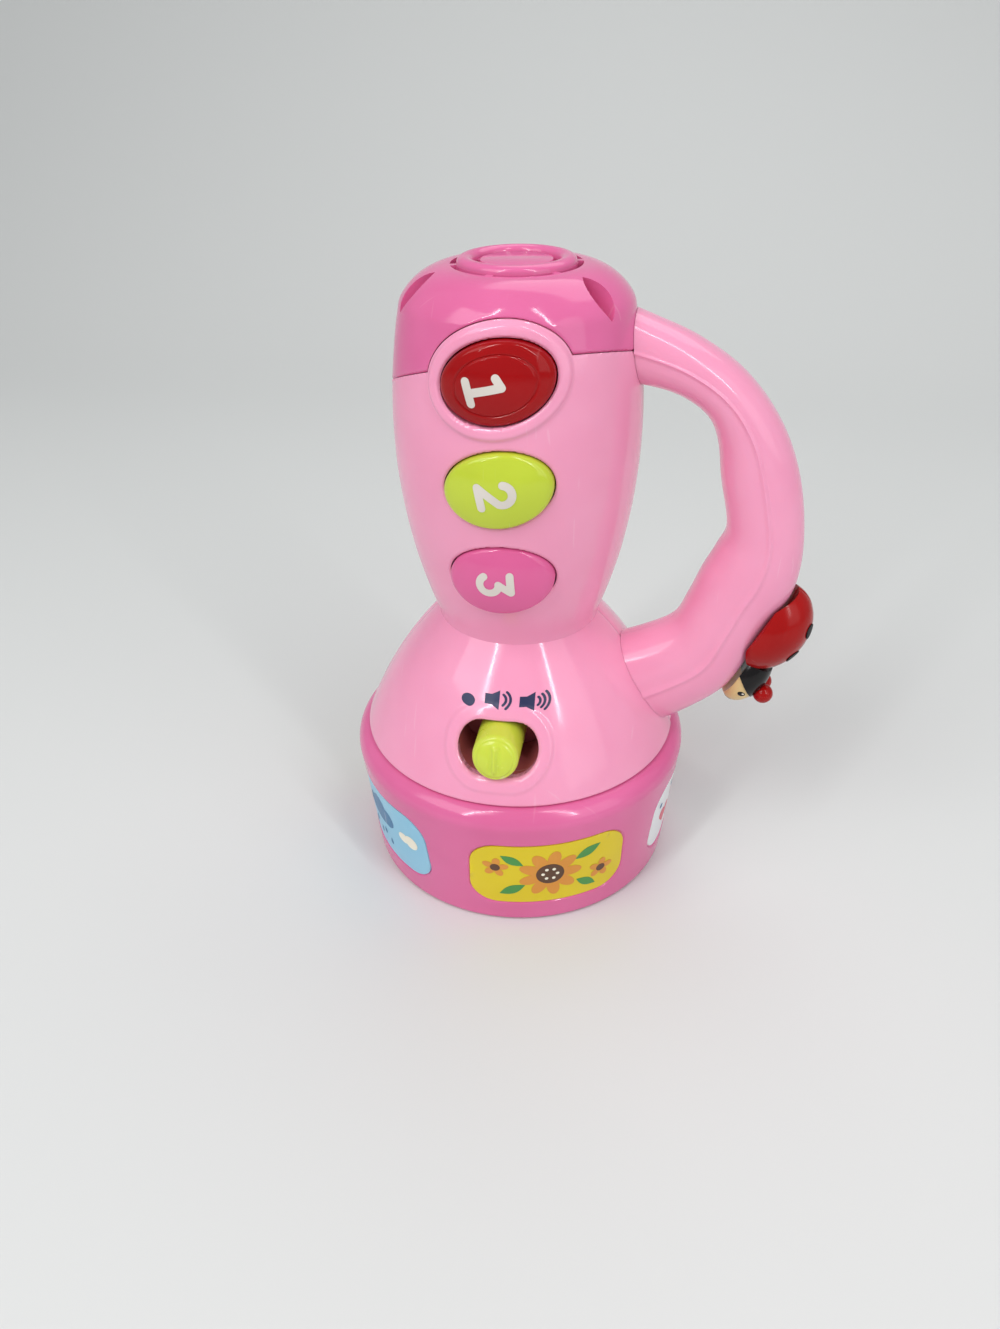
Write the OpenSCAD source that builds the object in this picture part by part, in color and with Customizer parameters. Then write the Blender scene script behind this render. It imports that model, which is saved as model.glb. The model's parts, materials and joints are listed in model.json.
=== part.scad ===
// Toy flashlight that stands on its turning colour ring.
// The axis is Z, the push buttons face -Y and the grip reaches out along +X.
// Its origin is the centre of the ring's bottom rim.

/* [Colour ring] */
// Outer radius of the ring just above its bottom rim
ring_base_r = 48.9; // [46:0.1:50]
// Largest outer radius of the ring
ring_max_r = 52.7; // [51.5:0.1:55]
// Height of the ring's top edge
ring_h = 45.9; // [42:0.1:50]
// Wall of the ring
ring_wall = 2.6; // [2:0.1:3]
// Rounding of the bottom rim
ring_foot_round = 1.8; // [1:0.1:2.5]
// Rounding of the top edge
ring_top_round = 6; // [4:0.1:7]
// How far the lip that hangs the ring on the dome reaches in from the largest radius
lip_reach = 7.4; // [6.8:0.1:8]
// Thickness of that lip
lip_t = 2.5; // [2:0.1:3.5]
// Number of picture labels and of click positions
label_count = 5; // [5]
// Width of a label
label_w = 47; // [40:0.5:50]
// Height of a label
label_h = 25; // [18:0.5:27]
// Height of the labels' centre
label_z = 21; // [20:0.5:23]
// Corner rounding of a label
label_corner = 8; // [3:0.5:9]
// Direction of the first label's centre
label_turn = -71; // [-90:1:-50]
// Depth of a label's recess
recess_depth = 0.6; // [0.4:0.1:0.9]
// Thickness of a label
label_t = 0.35; // [0.2:0.05:0.4]

/* [Lamp] */
// Radius of the clear lens
lens_r = 45; // [43:0.1:45.5]
// Thickness of the lens at its edge
lens_t = 2.6; // [2:0.1:4]
// Bulge of the lens below its edge
lens_bulge = 1.6; // [0.5:0.1:2]
// Height of the ledge that the lens sits against
lens_seat_z = 8; // [7:0.5:10]
// Inner radius of that ledge
ledge_r = 42.3; // [40:0.1:43]
// Radius of the reflector's throat
throat_r = 8; // [6:0.5:10]
// Radius of the reflector's mouth
mouth_r = 39; // [34:0.5:40]
// Height of the reflector's mouth
mouth_z = 13; // [12:0.5:18]
// Wall of the reflector
reflector_wall = 1.4; // [1:0.1:2]
// Radius of the lamp board
lamp_board_r = 15; // [12:0.5:18]
// Radius of the lamp
lamp_r = 4; // [2.5:0.1:5]

/* [Housing] */
// Wall of the housing
wall = 2.2; // [1.8:0.1:2.6]
// Gap between the housing and the ring
ring_gap = 0.3; // [0.2:0.05:0.4]
// Radius of the dome's lower edge
dome_base_r = 49.2; // [48:0.1:50]
// Radius of the neck between dome and barrel
neck_r = 23.8; // [22:0.1:25]
// Height of the neck
neck_z = 86; // [84:0.5:88]
// Radius of the dome's arc
dome_arc_r = 128; // [110:1:160]
// Largest radius of the barrel
barrel_r = 34; // [33:0.1:35]
// Distance of the barrel's largest radius below the cap's top
barrel_drop = 42.3; // [38:0.1:46]
// Wall of the skirt under the dome
skirt_wall = 2.2; // [1.8:0.1:2.6]

/* [End cap] */
// Height of the cap's flat top
cap_top_z = 184.3; // [182:0.1:187]
// Rounding of the cap's shoulder
shoulder_r = 16; // [14:0.5:18]
// Radius of the cap's flat top
cap_flat_r = 16.3; // [15.5:0.1:18]
// Distance of the slanted seam below the cap's top, on the axis
seam_drop = 26.3; // [25.5:0.1:28]
// Rise of the seam towards the grip, per millimetre
seam_rise_x = 0.15; // [0.05:0.01:0.2]
// Rise of the seam towards the buttons, per millimetre
seam_rise_front = 0.32; // [0.25:0.01:0.36]
// Visible parting gap between the shells
part_gap = 0.2; // [0.1:0.05:0.3]
// Outer radius of the raised sound ring
sound_ring_r = 15.4; // [14:0.1:16]
// Inner radius of the raised sound ring
sound_ring_in_r = 10.8; // [10:0.1:12]
// Height of the raised sound ring
sound_ring_h = 1.9; // [1:0.1:2.5]
// Width of the round sound slots
sound_slot_w = 1.5; // [1:0.1:1.6]
// Number of bridges across each sound slot
sound_bridges = 6; // [3:1:8]
// Length of a leaf slot in the shoulder
leaf_length = 13; // [9:0.5:14]
// Width of a leaf slot
leaf_w = 6.4; // [4:0.1:7]
// Number of leaf slots
leaf_count = 3; // [2:1:4]
// Direction of the first leaf slot
leaf_turn = -33; // [-50:1:-20]
// Radius of the speaker
speaker_r = 14; // [12:0.5:15]
// Depth of the speaker's frame
speaker_depth = 7; // [5:0.5:8]

/* [Buttons] */
// Half width of an oval button
button_a = 14.2; // [12:0.1:14.6]
// Half height of an oval button, as a share of the buttons' spacing
button_share = 0.375; // [0.34:0.005:0.385]
// Distance of the top button below the cap's top
button_drop = 20.9; // [20:0.1:22]
// Spacing of the buttons, as a share of the barrel's length
pitch_share = 0.2716; // [0.265:0.0002:0.275]
// How far a button's crown stands out of the barrel
button_crown = 3; // [2:0.1:4]
// Gap round a button
button_gap = 0.35; // [0.2:0.05:0.5]
// Press of a button
button_travel = 2; // [1:0.1:2.2]
// Width of the collar round the top button
collar_w = 4; // [3:0.1:4.5]
// How far that collar stands out of the barrel
collar_h = 0.9; // [0.4:0.1:1.5]
// Rim inside the wall that keeps a button in
button_rim = 1.3; // [1:0.1:1.6]

/* [Volume slider] */
// Height of the slider's slot above the dome's lower edge
slot_rise = 14.8; // [13:0.1:16]
// Length of the slot
slot_length = 23.4; // [21:0.1:25]
// Height of the slot
slot_h = 14.2; // [13:0.1:15]
// Gap between knob and slot
knob_gap = 0.4; // [0.3:0.05:0.6]
// Distance of the knob's tip from the axis
knob_reach = 47.4; // [46:0.1:49]
// Depth of the slot's well, measured from the axis
well_y = 28; // [27:0.1:29]
// Wall of the well
well_wall = 1.6; // [1.2:0.1:2]

/* [Grip] */
// Half depth of the grip at its upper root
grip_top_depth = 9; // [8:0.1:10]
// Half depth of the grip at its lower root
grip_low_depth = 11.5; // [10:0.1:13]
// Height of the upper tenon's centre above the seam
tenon_top_rise = 0.6; // [0.4:0.1:0.8]
// Height of the lower tenon's centre above the dome's lower edge
tenon_low_rise = 15.8; // [15:0.1:17]
// Half width of a tenon
tenon_half_w = 4.2; // [3.6:0.1:4.4]
// Half height of a tenon
tenon_half_h = 1.7; // [1.4:0.1:1.8]
// Gap round a tenon
tenon_gap = 0.2; // [0.1:0.05:0.3]

/* [Ladybird] */
// Half length of the ladybird's shell
bug_length = 14.5; // [13:0.1:16]
// Half width of the shell
bug_width = 11.5; // [10:0.1:12.5]
// Height of the shell over the grip
bug_h = 11.4; // [10:0.1:13]
// Gap between the shell and the grip
bug_lift = 2.2; // [2:0.1:2.6]
// How far the shell's rim reaches down the grip's sides
bug_rim = 2.2; // [1.5:0.1:2.6]
// Half width of the head
head_r = 7.4; // [6.5:0.1:8.5]
// Radius of a feeler's ball
feeler_r = 3; // [2:0.1:3.4]
// Radius of the press stem
stem_r = 4.5; // [3.5:0.1:5]
// Gap round the stem
stem_gap = 0.25; // [0.15:0.05:0.4]
// Press of the ladybird
bug_travel = 1.5; // [1:0.1:1.6]

/* [Batteries] */
// Radius of a cell
cell_r = 5.25; // [5.25]
// Length of a cell
cell_length = 44.5; // [44.5]
// Distance of the cells' lower ends below the cap's top
cell_drop = 76.3; // [76:0.1:77]
// Distance of the cells behind the axis
cell_depth = 16; // [15:0.5:17]
// Half width of the battery door
door_half_w = 14.5; // [14:0.1:15.5]
// How far the battery door reaches below the cells' lower ends
door_below = 6; // [5:0.5:7]
// Height of the battery door
door_h = 42; // [40:0.5:43]
// Gap round the battery door
door_gap = 0.25; // [0.15:0.05:0.4]
// Wall of the battery tray
tray_wall = 1.4; // [1.2:0.1:1.8]

/* [Boards and screws] */
// Thickness of the circuit boards
board_t = 1.6; // [1:0.1:2]
// Half width of the main board
board_half_w = 15; // [13:0.5:16]
// Distance of the main board in front of the axis
board_y = 9; // [8:0.5:9.5]
// Radius of a screw boss
boss_r = 3.2; // [2.8:0.1:3.6]
// Radius of a screw's shank
screw_r = 1.2; // [1:0.1:1.4]
// Radius of a screw's head
screw_head_r = 2.3; // [2:0.1:2.5]
// Height of a screw's head
screw_head_h = 1.6; // [1.2:0.1:1.8]

/* [Hidden] */
$fn = 72;

light_pink = "#f8a4c4";
hot_pink = "#e8629f";
far = 80;
sliver = 0.01;
z_step = 8;
shoulder_steps = 7;
oval_sides = 36;

// Heights of the ring joint, from the ring's lip outwards
lip_r = ring_max_r - lip_reach;
dome_z = ring_h + ring_gap;
lip_z = ring_h - lip_t;
retainer_z = lip_z - ring_gap;
retainer_t = 2.5;
retainer_r = lip_r + 2;
skirt_r = lip_r - ring_gap;
skirt_in_r = skirt_r - skirt_wall;

// Heights that follow the cap's top and the dome's lower edge
barrel_z = cap_top_z - barrel_drop;
seam_z = cap_top_z - seam_drop;
barrel_length = cap_top_z - neck_z;
button_pitch = pitch_share * barrel_length;
button_b = button_share * button_pitch;
button_low_z = cap_top_z - button_drop - 2 * button_pitch;
slot_z = dome_z + slot_rise;
tenon_top_z = seam_z + tenon_top_rise;
tenon_low_z = dome_z + tenon_low_rise;
cell_z = cap_top_z - cell_drop;
door_low_z = cell_z - door_below;
door_high_z = door_low_z + door_h;

// Arcs of the housing's outline
function arc_centre(p, q, r) =
    let (m = (p + q) / 2, d = q - p, l = norm(d), h = sqrt(r * r - l * l / 4))
    m + h * [-d[1], d[0]] / l;
dome_centre = arc_centre([dome_base_r, dome_z], [neck_r, neck_z], dome_arc_r);
// The barrel's arc runs from the neck through its largest radius
barrel_sag = barrel_r - neck_r;
barrel_rise = barrel_z - neck_z;
barrel_arc_r = (barrel_rise * barrel_rise + barrel_sag * barrel_sag) / (2 * barrel_sag);
shoulder_z = cap_top_z - shoulder_r;

// Radius of the housing at a height, drawn in by an inset
function dome_at(z, inset) =
    dome_centre[0] + sqrt(max(0, pow(dome_arc_r - inset, 2) - pow(z - dome_centre[1], 2)));
function barrel_at(z, inset) =
    barrel_r - barrel_arc_r + sqrt(max(0, pow(barrel_arc_r - inset, 2) - pow(z - barrel_z, 2)));
function shoulder_at(z, inset) =
    z < shoulder_z ? far : cap_flat_r + sqrt(max(0, pow(shoulder_r - inset, 2) - pow(z - shoulder_z, 2)));
function housing_at(z, inset) =
    min(max(z > neck_z + 20 ? 0 : dome_at(z, inset), z < neck_z - 20 ? 0 : barrel_at(z, inset)),
        shoulder_at(z, inset));

// Outline of the housing from the dome's edge to the flat top
function housing_heights(low, inset) =
    let (top = cap_top_z - inset)
    concat(
        [for (z = [low : z_step : neck_z - z_step / 2]) z],
        [for (z = [neck_z : z_step : shoulder_z - z_step / 4]) z],
        [for (i = [0 : shoulder_steps - 1]) shoulder_z + (shoulder_r - inset) * sin(90 * i / shoulder_steps)], [top]);
function housing_outline(low, inset) =
    let (zs = housing_heights(low, inset))
    concat([[0, low]], [for (z = zs) [housing_at(z, inset), z]], [[0, cap_top_z - inset]]);

module housing_form(low, inset) {
    rotate_extrude() polygon(housing_outline(low, inset));
}

// Half spaces
module front_half() {
    translate([-2 * far, -2 * far, -far]) cube([4 * far, 2 * far, 6 * far]);
}
module rear_half() {
    translate([-2 * far, 0, -far]) cube([4 * far, 2 * far, 6 * far]);
}

// Everything above the slanted seam, raised by a lift
module above_seam(lift) {
    steep = norm([seam_rise_x, seam_rise_front, 1]);
    translate([0, 0, seam_z + lift])
        rotate([-asin(seam_rise_front / steep), -atan(seam_rise_x), 0])
        translate([-far, -far, 0])
        cube([2 * far, 2 * far, far]);
}

// Buttons, counted from the top
button_tilt = [13, 10.5, 4];
function button_z(i) = button_low_z + (3 - i) * button_pitch;
function button_face(i) = housing_at(button_z(i), 0) + button_crown;
// Depth at which a button's inner rim meets the curved wall
function button_rim_y(i) =
    let (z = button_z(i), a = button_a + button_rim, h = button_b + button_rim,
         r = min(housing_at(z - h, wall), housing_at(z + h, wall)))
    sqrt(r * r - a * a) - 0.3;

// Oval prism along Y, from one distance in front of the axis to another
module oval_prism(i, a, b, y_in, y_out) {
    translate([0, -y_in, button_z(i)])
        rotate([90, 0, 0])
        rotate([0, 0, button_tilt[i - 1]])
        linear_extrude(height = y_out - y_in)
        polygon([for (k = [0 : oval_sides - 1]) [a * cos(360 * k / oval_sides), b * sin(360 * k / oval_sides)]]);
}

// The collar's outline, which also cuts the end cap
module collar_prism(grow, y_out) {
    oval_prism(1, button_a + collar_w + grow, button_b + collar_w + grow, 4, y_out);
}

// Upright stadium along Y
module slot_prism(length, height, y_in, y_out) {
    end = (length - height) / 2;
    translate([0, -y_in, slot_z]) rotate([90, 0, 0]) {
        for (x = [-end, end]) translate([x, 0, 0]) cylinder(d = height, h = y_out - y_in);
        translate([-end, -height / 2, 0]) cube([2 * end, height, y_out - y_in]);
    }
}

// Screw bosses that join the two housing halves
boss_inset = 9;
neck_boss_x = neck_r - boss_r - 0.6;
neck_boss_z = neck_z + 6;
dome_boss_inset = 15.2;
dome_boss_rise = 9.8;
boss_places = [
    [boss_inset - barrel_r, barrel_z - 1], [neck_boss_x, neck_boss_z], [-neck_boss_x, neck_boss_z],
    [dome_boss_inset - dome_base_r, dome_z + dome_boss_rise], [barrel_r - boss_inset, barrel_z - 14]
];
boss_split = 1;
module housing_boss(place, y_in, y_out) {
    translate([place[0], y_in, place[1]]) rotate([-90, 0, 0]) cylinder(r = boss_r, h = y_out - y_in);
}
module boss_bore(place, r, y_in, y_out) {
    translate([place[0], y_in, place[1]]) rotate([-90, 0, 0]) cylinder(r = r, h = y_out - y_in);
}

// Pillars of the front half that hold the keypad and its board
pillar_x = 12.5;
pillar_r = 2;
pillar_gap = 0.05;
module board_pillars() {
    for (x = [-pillar_x, pillar_x], i = [2, 3])
        intersection() {
            translate([x, -key_y - keypad_t - pillar_gap, button_z(i) + button_pitch / 2])
                rotate([90, 0, 0])
                cylinder(r = pillar_r, h = far);
            housing_form(dome_z, wall / 2);
        }
}

// Bosses under the dome that take the retainer's screws
retainer_turns = [-125, -50, 55, 125];
retainer_boss_r = skirt_in_r - boss_r + 0.8;
boss_rise = 0.2;
boss_h = 9;
module at_retainer(turn) {
    rotate([0, 0, turn]) translate([retainer_boss_r, 0, 0]) children();
}

// Tenons of the grip, as seen by the housing
module tenon(z, x_in, x_out, flange_w, flange_t, gap) {
    translate([x_in, -tenon_half_w - gap, z - tenon_half_h - gap])
        cube([x_out - x_in, 2 * (tenon_half_w + gap), 2 * (tenon_half_h + gap)]);
    if (flange_t > 0)
        translate([x_in, -tenon_half_w - flange_w, z - tenon_half_h - flange_w])
            cube([flange_t, 2 * (tenon_half_w + flange_w), 2 * (tenon_half_h + flange_w)]);
}
tenon_flange = 2;
tenon_plate = 2;
tenon_top_x = sqrt(pow(housing_at(tenon_top_z, wall), 2) - pow(tenon_half_w + tenon_flange, 2)) - 0.3
    - tenon_plate;
tenon_low_x = housing_at(tenon_low_z + tenon_half_h + tenon_flange, wall) - 1.2 - tenon_plate;
module both_tenons(flange_t, gap) {
    tenon(tenon_top_z, tenon_top_x, barrel_r + 4, tenon_flange, flange_t, gap);
    tenon(tenon_low_z, tenon_low_x, housing_at(tenon_low_z, 0) + 5, tenon_flange, flange_t, gap);
}

// Wall of the housing in section, between two insets
function wall_section(low_out, low_in, out, in) =
    let (outer = housing_heights(low_out, out), inner = housing_heights(low_in, in))
    concat(
        [for (z = outer) [housing_at(z, out), z]],
        [[0, cap_top_z - out], [0, cap_top_z - in]],
        [for (k = [len(inner) - 1 : -1 : 0]) [housing_at(inner[k], in), inner[k]]]);

// Hollow shell of the barrel and dome below the seam, with its skirt and the top button's collar
collar_root = 0.3;
module housing_shell() {
    difference() {
        union() {
            difference() {
                rotate_extrude() polygon(concat(
                    [[skirt_in_r, dome_z + wall], [skirt_in_r, retainer_z], [skirt_r, retainer_z], [skirt_r, dome_z]],
                    wall_section(dome_z, dome_z + wall, 0, wall)));
                above_seam(0);
            }
            intersection() {
                rotate_extrude() polygon(wall_section(neck_z, neck_z, -collar_h, wall - collar_root));
                collar_prism(0, far);
            }
        }
        both_tenons(0, tenon_gap);
    }
}

module front_housing() {
    color(light_pink) difference() {
        union() {
            intersection() {
                housing_shell();
                front_half();
            }
            intersection() {
                difference() {
                    slot_prism(slot_length + 2 * well_wall, slot_h + 2 * well_wall, well_y, far);
                    slot_prism(slot_length, slot_h, well_y - 1, far + 1);
                }
                housing_form(dome_z, wall / 2);
            }
            for (p = boss_places)
                intersection() {
                    housing_boss(p, -far, -boss_split);
                    housing_form(dome_z, wall / 2);
                }
            board_pillars();
            for (t = [retainer_turns[0], retainer_turns[1]])
                at_retainer(t) translate([0, 0, retainer_z + boss_rise]) cylinder(r = boss_r, h = boss_h);
        }
        for (i = [1 : 3])
            oval_prism(i, button_a + button_gap, button_b + button_gap, 2, far);
        slot_prism(slot_length, slot_h, well_y + 1, far);
        for (p = boss_places) boss_bore(p, screw_r, -9, 0);
        for (t = [retainer_turns[0], retainer_turns[1]])
            at_retainer(t) translate([0, 0, retainer_z - 1]) cylinder(r = screw_r, h = 8);
    }
}

module rear_housing() {
    color(light_pink) difference() {
        union() {
            intersection() {
                housing_shell();
                rear_half();
            }
            for (p = boss_places)
                intersection() {
                    housing_boss(p, -boss_split, far);
                    housing_form(dome_z, wall / 2);
                }
            for (t = [retainer_turns[2], retainer_turns[3]])
                at_retainer(t) translate([0, 0, retainer_z + boss_rise]) cylinder(r = boss_r, h = boss_h);
        }
        door_opening(door_gap);
        for (p = boss_places) {
            boss_bore(p, screw_r + 0.2, -boss_split - 1, far);
            boss_bore(p, screw_head_r + 0.2, screw_seat_y, far);
        }
        for (t = [retainer_turns[2], retainer_turns[3]])
            at_retainer(t) translate([0, 0, retainer_z - 1]) cylinder(r = screw_r, h = 8);
    }
}
screw_seat_y = 4;
screw_bite = 7;

module screw(length) {
    translate([0, 0, -length]) cylinder(r = screw_r - 0.05, h = length + sliver);
    difference() {
        cylinder(r = screw_head_r, h = screw_head_h);
        for (a = [0, 90])
            rotate([0, 0, a]) translate([-screw_head_r * 0.6, -0.35, screw_head_h * 0.5])
                cube([screw_head_r * 1.2, 0.7, screw_head_h]);
    }
}

module housing_screws() {
    color("silver")
        for (p = boss_places)
            translate([p[0], screw_seat_y, p[1]]) rotate([-90, 0, 0]) screw(screw_seat_y + screw_bite);
}

// Cap over the top of the barrel, with sound slots
module sound_slot(r_in, r_out, turn) {
    difference() {
        translate([0, 0, cap_top_z - 2 * wall]) cylinder(r = r_out, h = 4 * wall);
        translate([0, 0, cap_top_z - 3 * wall]) cylinder(r = r_in, h = 6 * wall);
        for (k = [0 : sound_bridges - 1])
            rotate([0, 0, turn + 360 * k / sound_bridges])
                translate([0, -1, cap_top_z - 3 * wall]) cube([far, 2, 6 * wall]);
    }
}
leaf_lean = 42;
module leaf_slot(turn) {
    bow = (leaf_length * leaf_length / 4 + leaf_w * leaf_w / 4) / leaf_w;
    rotate([0, 0, turn])
        translate([cap_flat_r, 0, shoulder_z])
        rotate([0, leaf_lean, 0])
        translate([0, 0, shoulder_r - 2.5 * wall])
        linear_extrude(height = 4 * wall)
        intersection() {
            translate([0, bow - leaf_w / 2]) circle(r = bow);
            translate([0, leaf_w / 2 - bow]) circle(r = bow);
        }
}
// Outline of the cap, with the raised sound ring on its flat top
sound_ring_edge = 0.2;
function cap_outline() =
    let (zs = housing_heights(neck_z, 0), mid = (sound_ring_r + sound_ring_in_r) / 2,
         half = (sound_ring_r - sound_ring_in_r) / 2 - sound_ring_edge, hub_r = sound_ring_in_r - sound_slot_w)
    concat(
        [[0, neck_z]], [for (z = zs) [housing_at(z, 0), z]],
        [for (k = [0 : 6]) [mid + half * cos(30 * k), cap_top_z + sound_ring_h * sin(30 * k)]],
        [[hub_r, cap_top_z], [hub_r, cap_top_z + sound_ring_h / 2], [0, cap_top_z + sound_ring_h / 2]]);
module end_cap() {
    color(hot_pink) difference() {
        intersection() {
            rotate_extrude() polygon(cap_outline());
            above_seam(part_gap);
        }
        housing_form(neck_z - 1, wall);
        collar_prism(part_gap, far);
        sound_slot(sound_ring_r, sound_ring_r + sound_slot_w, 15);
        sound_slot(sound_ring_in_r - sound_slot_w, sound_ring_in_r, 45);
        for (k = [0 : leaf_count - 1]) leaf_slot(leaf_turn + 360 * k / leaf_count);
    }
}

// Speaker under the cap's top
speaker_z = cap_top_z - wall;
module speaker_frame() {
    color("dimgray") rotate_extrude()
        polygon([[speaker_r - 1, speaker_z], [speaker_r, speaker_z], [speaker_r, speaker_z - 1.5],
                 [speaker_r * 0.6, speaker_z - speaker_depth], [3, speaker_z - speaker_depth],
                 [3, speaker_z - speaker_depth + 1], [speaker_r * 0.6 - 0.6, speaker_z - speaker_depth + 1],
                 [speaker_r - 1, speaker_z - 1.7]]);
}
module speaker_cone() {
    color("black") rotate_extrude()
        polygon([[0, speaker_z - speaker_depth + 2.6], [speaker_r * 0.35, speaker_z - speaker_depth + 2],
                 [speaker_r - 1.3, speaker_z - 1], [speaker_r - 1.3, speaker_z - 1.6],
                 [speaker_r * 0.35, speaker_z - speaker_depth + 1.3], [0, speaker_z - speaker_depth + 1.3]]);
}
magnet_h = 4;
module speaker_magnet() {
    magnet_r = speaker_r * 0.55;
    color("gray") translate([0, 0, speaker_z - speaker_depth - magnet_h]) cylinder(r = magnet_r, h = magnet_h);
}

// Turning ring, hung on the dome by its lip
function ring_at(z) =
    ring_base_r + (ring_max_r - ring_base_r) * (z - ring_foot_round)
    / (ring_h - ring_top_round - ring_foot_round);
function quarter(c, r, from, n) = [for (i = [0 : n]) c + r * [cos(from + 90 * i / n), sin(from + 90 * i / n)]];
lens_bore_r = lens_r + 0.15;
ledge_t = 2;
module ring_outline() {
    polygon(concat(
        quarter([ring_base_r - ring_foot_round, ring_foot_round], ring_foot_round, -90, 6),
        quarter([ring_max_r - ring_top_round, ring_h - ring_top_round], ring_top_round, 0, 10),
        [[lip_r, ring_h], [lip_r, lip_z], [ring_max_r - ring_wall - 1.5, lip_z],
         [ring_max_r - ring_wall, lip_z - 3],
         [ring_at(lens_seat_z + ledge_t) - ring_wall, lens_seat_z + ledge_t],
         [ledge_r, lens_seat_z + ledge_t], [ledge_r, lens_seat_z], [lens_bore_r, lens_seat_z],
         [lens_bore_r, 0]]));
}
module rounded_plate(w, h, r, t) {
    linear_extrude(height = t) hull()
        for (x = [r - w / 2, w / 2 - r], y = [r - h / 2, h / 2 - r]) translate([x, y]) circle(r = r, $fn = 32);
}
module label_patch(i, grow, depth, t) {
    low = label_z - label_h;
    high = label_z + label_h;
    intersection() {
        rotate_extrude()
            polygon([[ring_at(low) - depth, low], [ring_at(low) - depth + t, low],
                     [ring_at(high) - depth + t, high], [ring_at(high) - depth, high]]);
        rotate([0, 0, label_turn + 360 * (i - 1) / label_count])
            translate([ring_base_r / 2, 0, label_z])
            rotate([90, 0, 90])
            rounded_plate(label_w + 2 * grow, label_h + 2 * grow, label_corner + grow, ring_max_r);
    }
}
module color_ring() {
    color(hot_pink) difference() {
        rotate_extrude() ring_outline();
        for (i = [1 : label_count]) label_patch(i, 0.4, recess_depth, 4);
    }
}
label_gap = 0.05;
module label(i) {
    tints = ["gold", "whitesmoke", "orange", "yellowgreen", "lightskyblue"];
    color(tints[i - 1]) label_patch(i, 0, recess_depth - label_gap, label_t);
}
module label_1() { label(1); }
module label_2() { label(2); }
module label_3() { label(3); }
module label_4() { label(4); }
module label_5() { label(5); }

// Lamp parts inside the ring
lens_steps = 8;
module lens() {
    edge_z = lens_seat_z - lens_t;
    color("white", 0.5) rotate_extrude()
        polygon(concat(
            [[0, lens_seat_z], [0, edge_z - lens_bulge]],
            [for (k = [1 : lens_steps])
                let (x = k / lens_steps) [lens_r * x, edge_z - lens_bulge * (1 - x * x)]],
            [[lens_r, lens_seat_z]]));
}
retainer_low_z = retainer_z - retainer_t;
module reflector() {
    flange_r = lamp_board_r;
    color("gainsboro") rotate_extrude()
        polygon([[throat_r, retainer_low_z], [flange_r, retainer_low_z], [flange_r, retainer_low_z - 1.4],
                 [throat_r + 4, retainer_low_z - 1.4], [mouth_r * 0.7, mouth_z + 10], [mouth_r, mouth_z],
                 [mouth_r - reflector_wall, mouth_z], [mouth_r * 0.7 - reflector_wall, mouth_z + 10],
                 [throat_r + 4 - reflector_wall, retainer_low_z - 3], [throat_r, retainer_low_z - 3]]);
}
retainer_bite = 4;
module ring_retainer() {
    color("white") difference() {
        translate([0, 0, retainer_low_z]) cylinder(r = retainer_r, h = retainer_t);
        translate([0, 0, retainer_low_z - 1]) cylinder(r = throat_r, h = retainer_t + 2);
        for (t = retainer_turns)
            at_retainer(t) translate([0, 0, retainer_low_z - 1]) cylinder(r = screw_r + 0.2, h = retainer_t + 2);
    }
}
module retainer_screws() {
    color("silver")
        for (t = retainer_turns)
            at_retainer(t) translate([0, 0, retainer_low_z]) mirror([0, 0, 1]) screw(retainer_t + retainer_bite);
}
module lamp_board() {
    color("seagreen") translate([0, 0, retainer_z]) cylinder(r = lamp_board_r, h = board_t);
}
module main_lamp() {
    color("white") {
        translate([0, 0, retainer_z - 3]) cylinder(r = lamp_r, h = 3);
        intersection() {
            translate([0, 0, retainer_z - 3]) sphere(r = lamp_r);
            translate([0, 0, retainer_z - 3 - lamp_r]) cylinder(r = lamp_r + 1, h = lamp_r);
        }
    }
}

// Push buttons with a domed face, a keeper rim and a plunger
plunger_r = 4;
keypad_t = 1.4;
dome_h = 1.2;
key_y = board_y + board_t / 2;
plunger_y = key_y + keypad_t + dome_h + button_travel + 0.3;
module button(i, tint) {
    face = button_face(i);
    rim_y = button_rim_y(i);
    deep = 14.5;
    color(tint) {
        intersection() {
            oval_prism(i, button_a, button_b, rim_y - sliver, face + 1);
            translate([0, deep - face, button_z(i)])
                rotate([0, -button_tilt[i - 1], 0])
                scale([button_a * 1.4, deep, button_b * 2])
                sphere(r = 1);
        }
        oval_prism(i, button_a + button_rim, button_b + button_rim, rim_y - 1.4, rim_y);
        translate([0, -plunger_y, button_z(i)]) rotate([90, 0, 0])
            cylinder(r = plunger_r, h = rim_y - 1.4 - plunger_y + sliver);
    }
}
module button_1() { button(1, "firebrick"); }
module button_2() { button(2, "yellowgreen"); }
module button_3() { button(3, "orchid"); }

board_below = 13;
board_above = 6;
board_low_z = button_z(3) - board_below;
board_high_z = button_z(1) + board_above;
keypad_inset = 2.4;
module keypad() {
    color("lightgray") {
        translate([-board_half_w + keypad_inset, -key_y - keypad_t, board_low_z + keypad_inset])
            cube([2 * (board_half_w - keypad_inset), keypad_t, board_high_z - board_low_z - 2 * keypad_inset]);
        for (i = [1 : 3])
            translate([0, -key_y - keypad_t + sliver, button_z(i)]) rotate([90, 0, 0])
                cylinder(r1 = plunger_r + 1.5, r2 = plunger_r - 0.5, h = dome_h);
    }
}
module main_board() {
    color("seagreen") translate([-board_half_w, -key_y, board_low_z])
        cube([2 * board_half_w, board_t, board_high_z - board_low_z]);
}
button_lamp_w = 1.6;
button_lamp_h = 2.4;
module button_lamps() {
    color("white")
        for (i = [1 : 3])
            translate([board_half_w - button_lamp_w - 0.2, -key_y, button_z(i) - button_lamp_h / 2])
                rotate([90, 0, 0])
                cube([button_lamp_w, button_lamp_h, button_lamp_w]);
}

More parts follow.
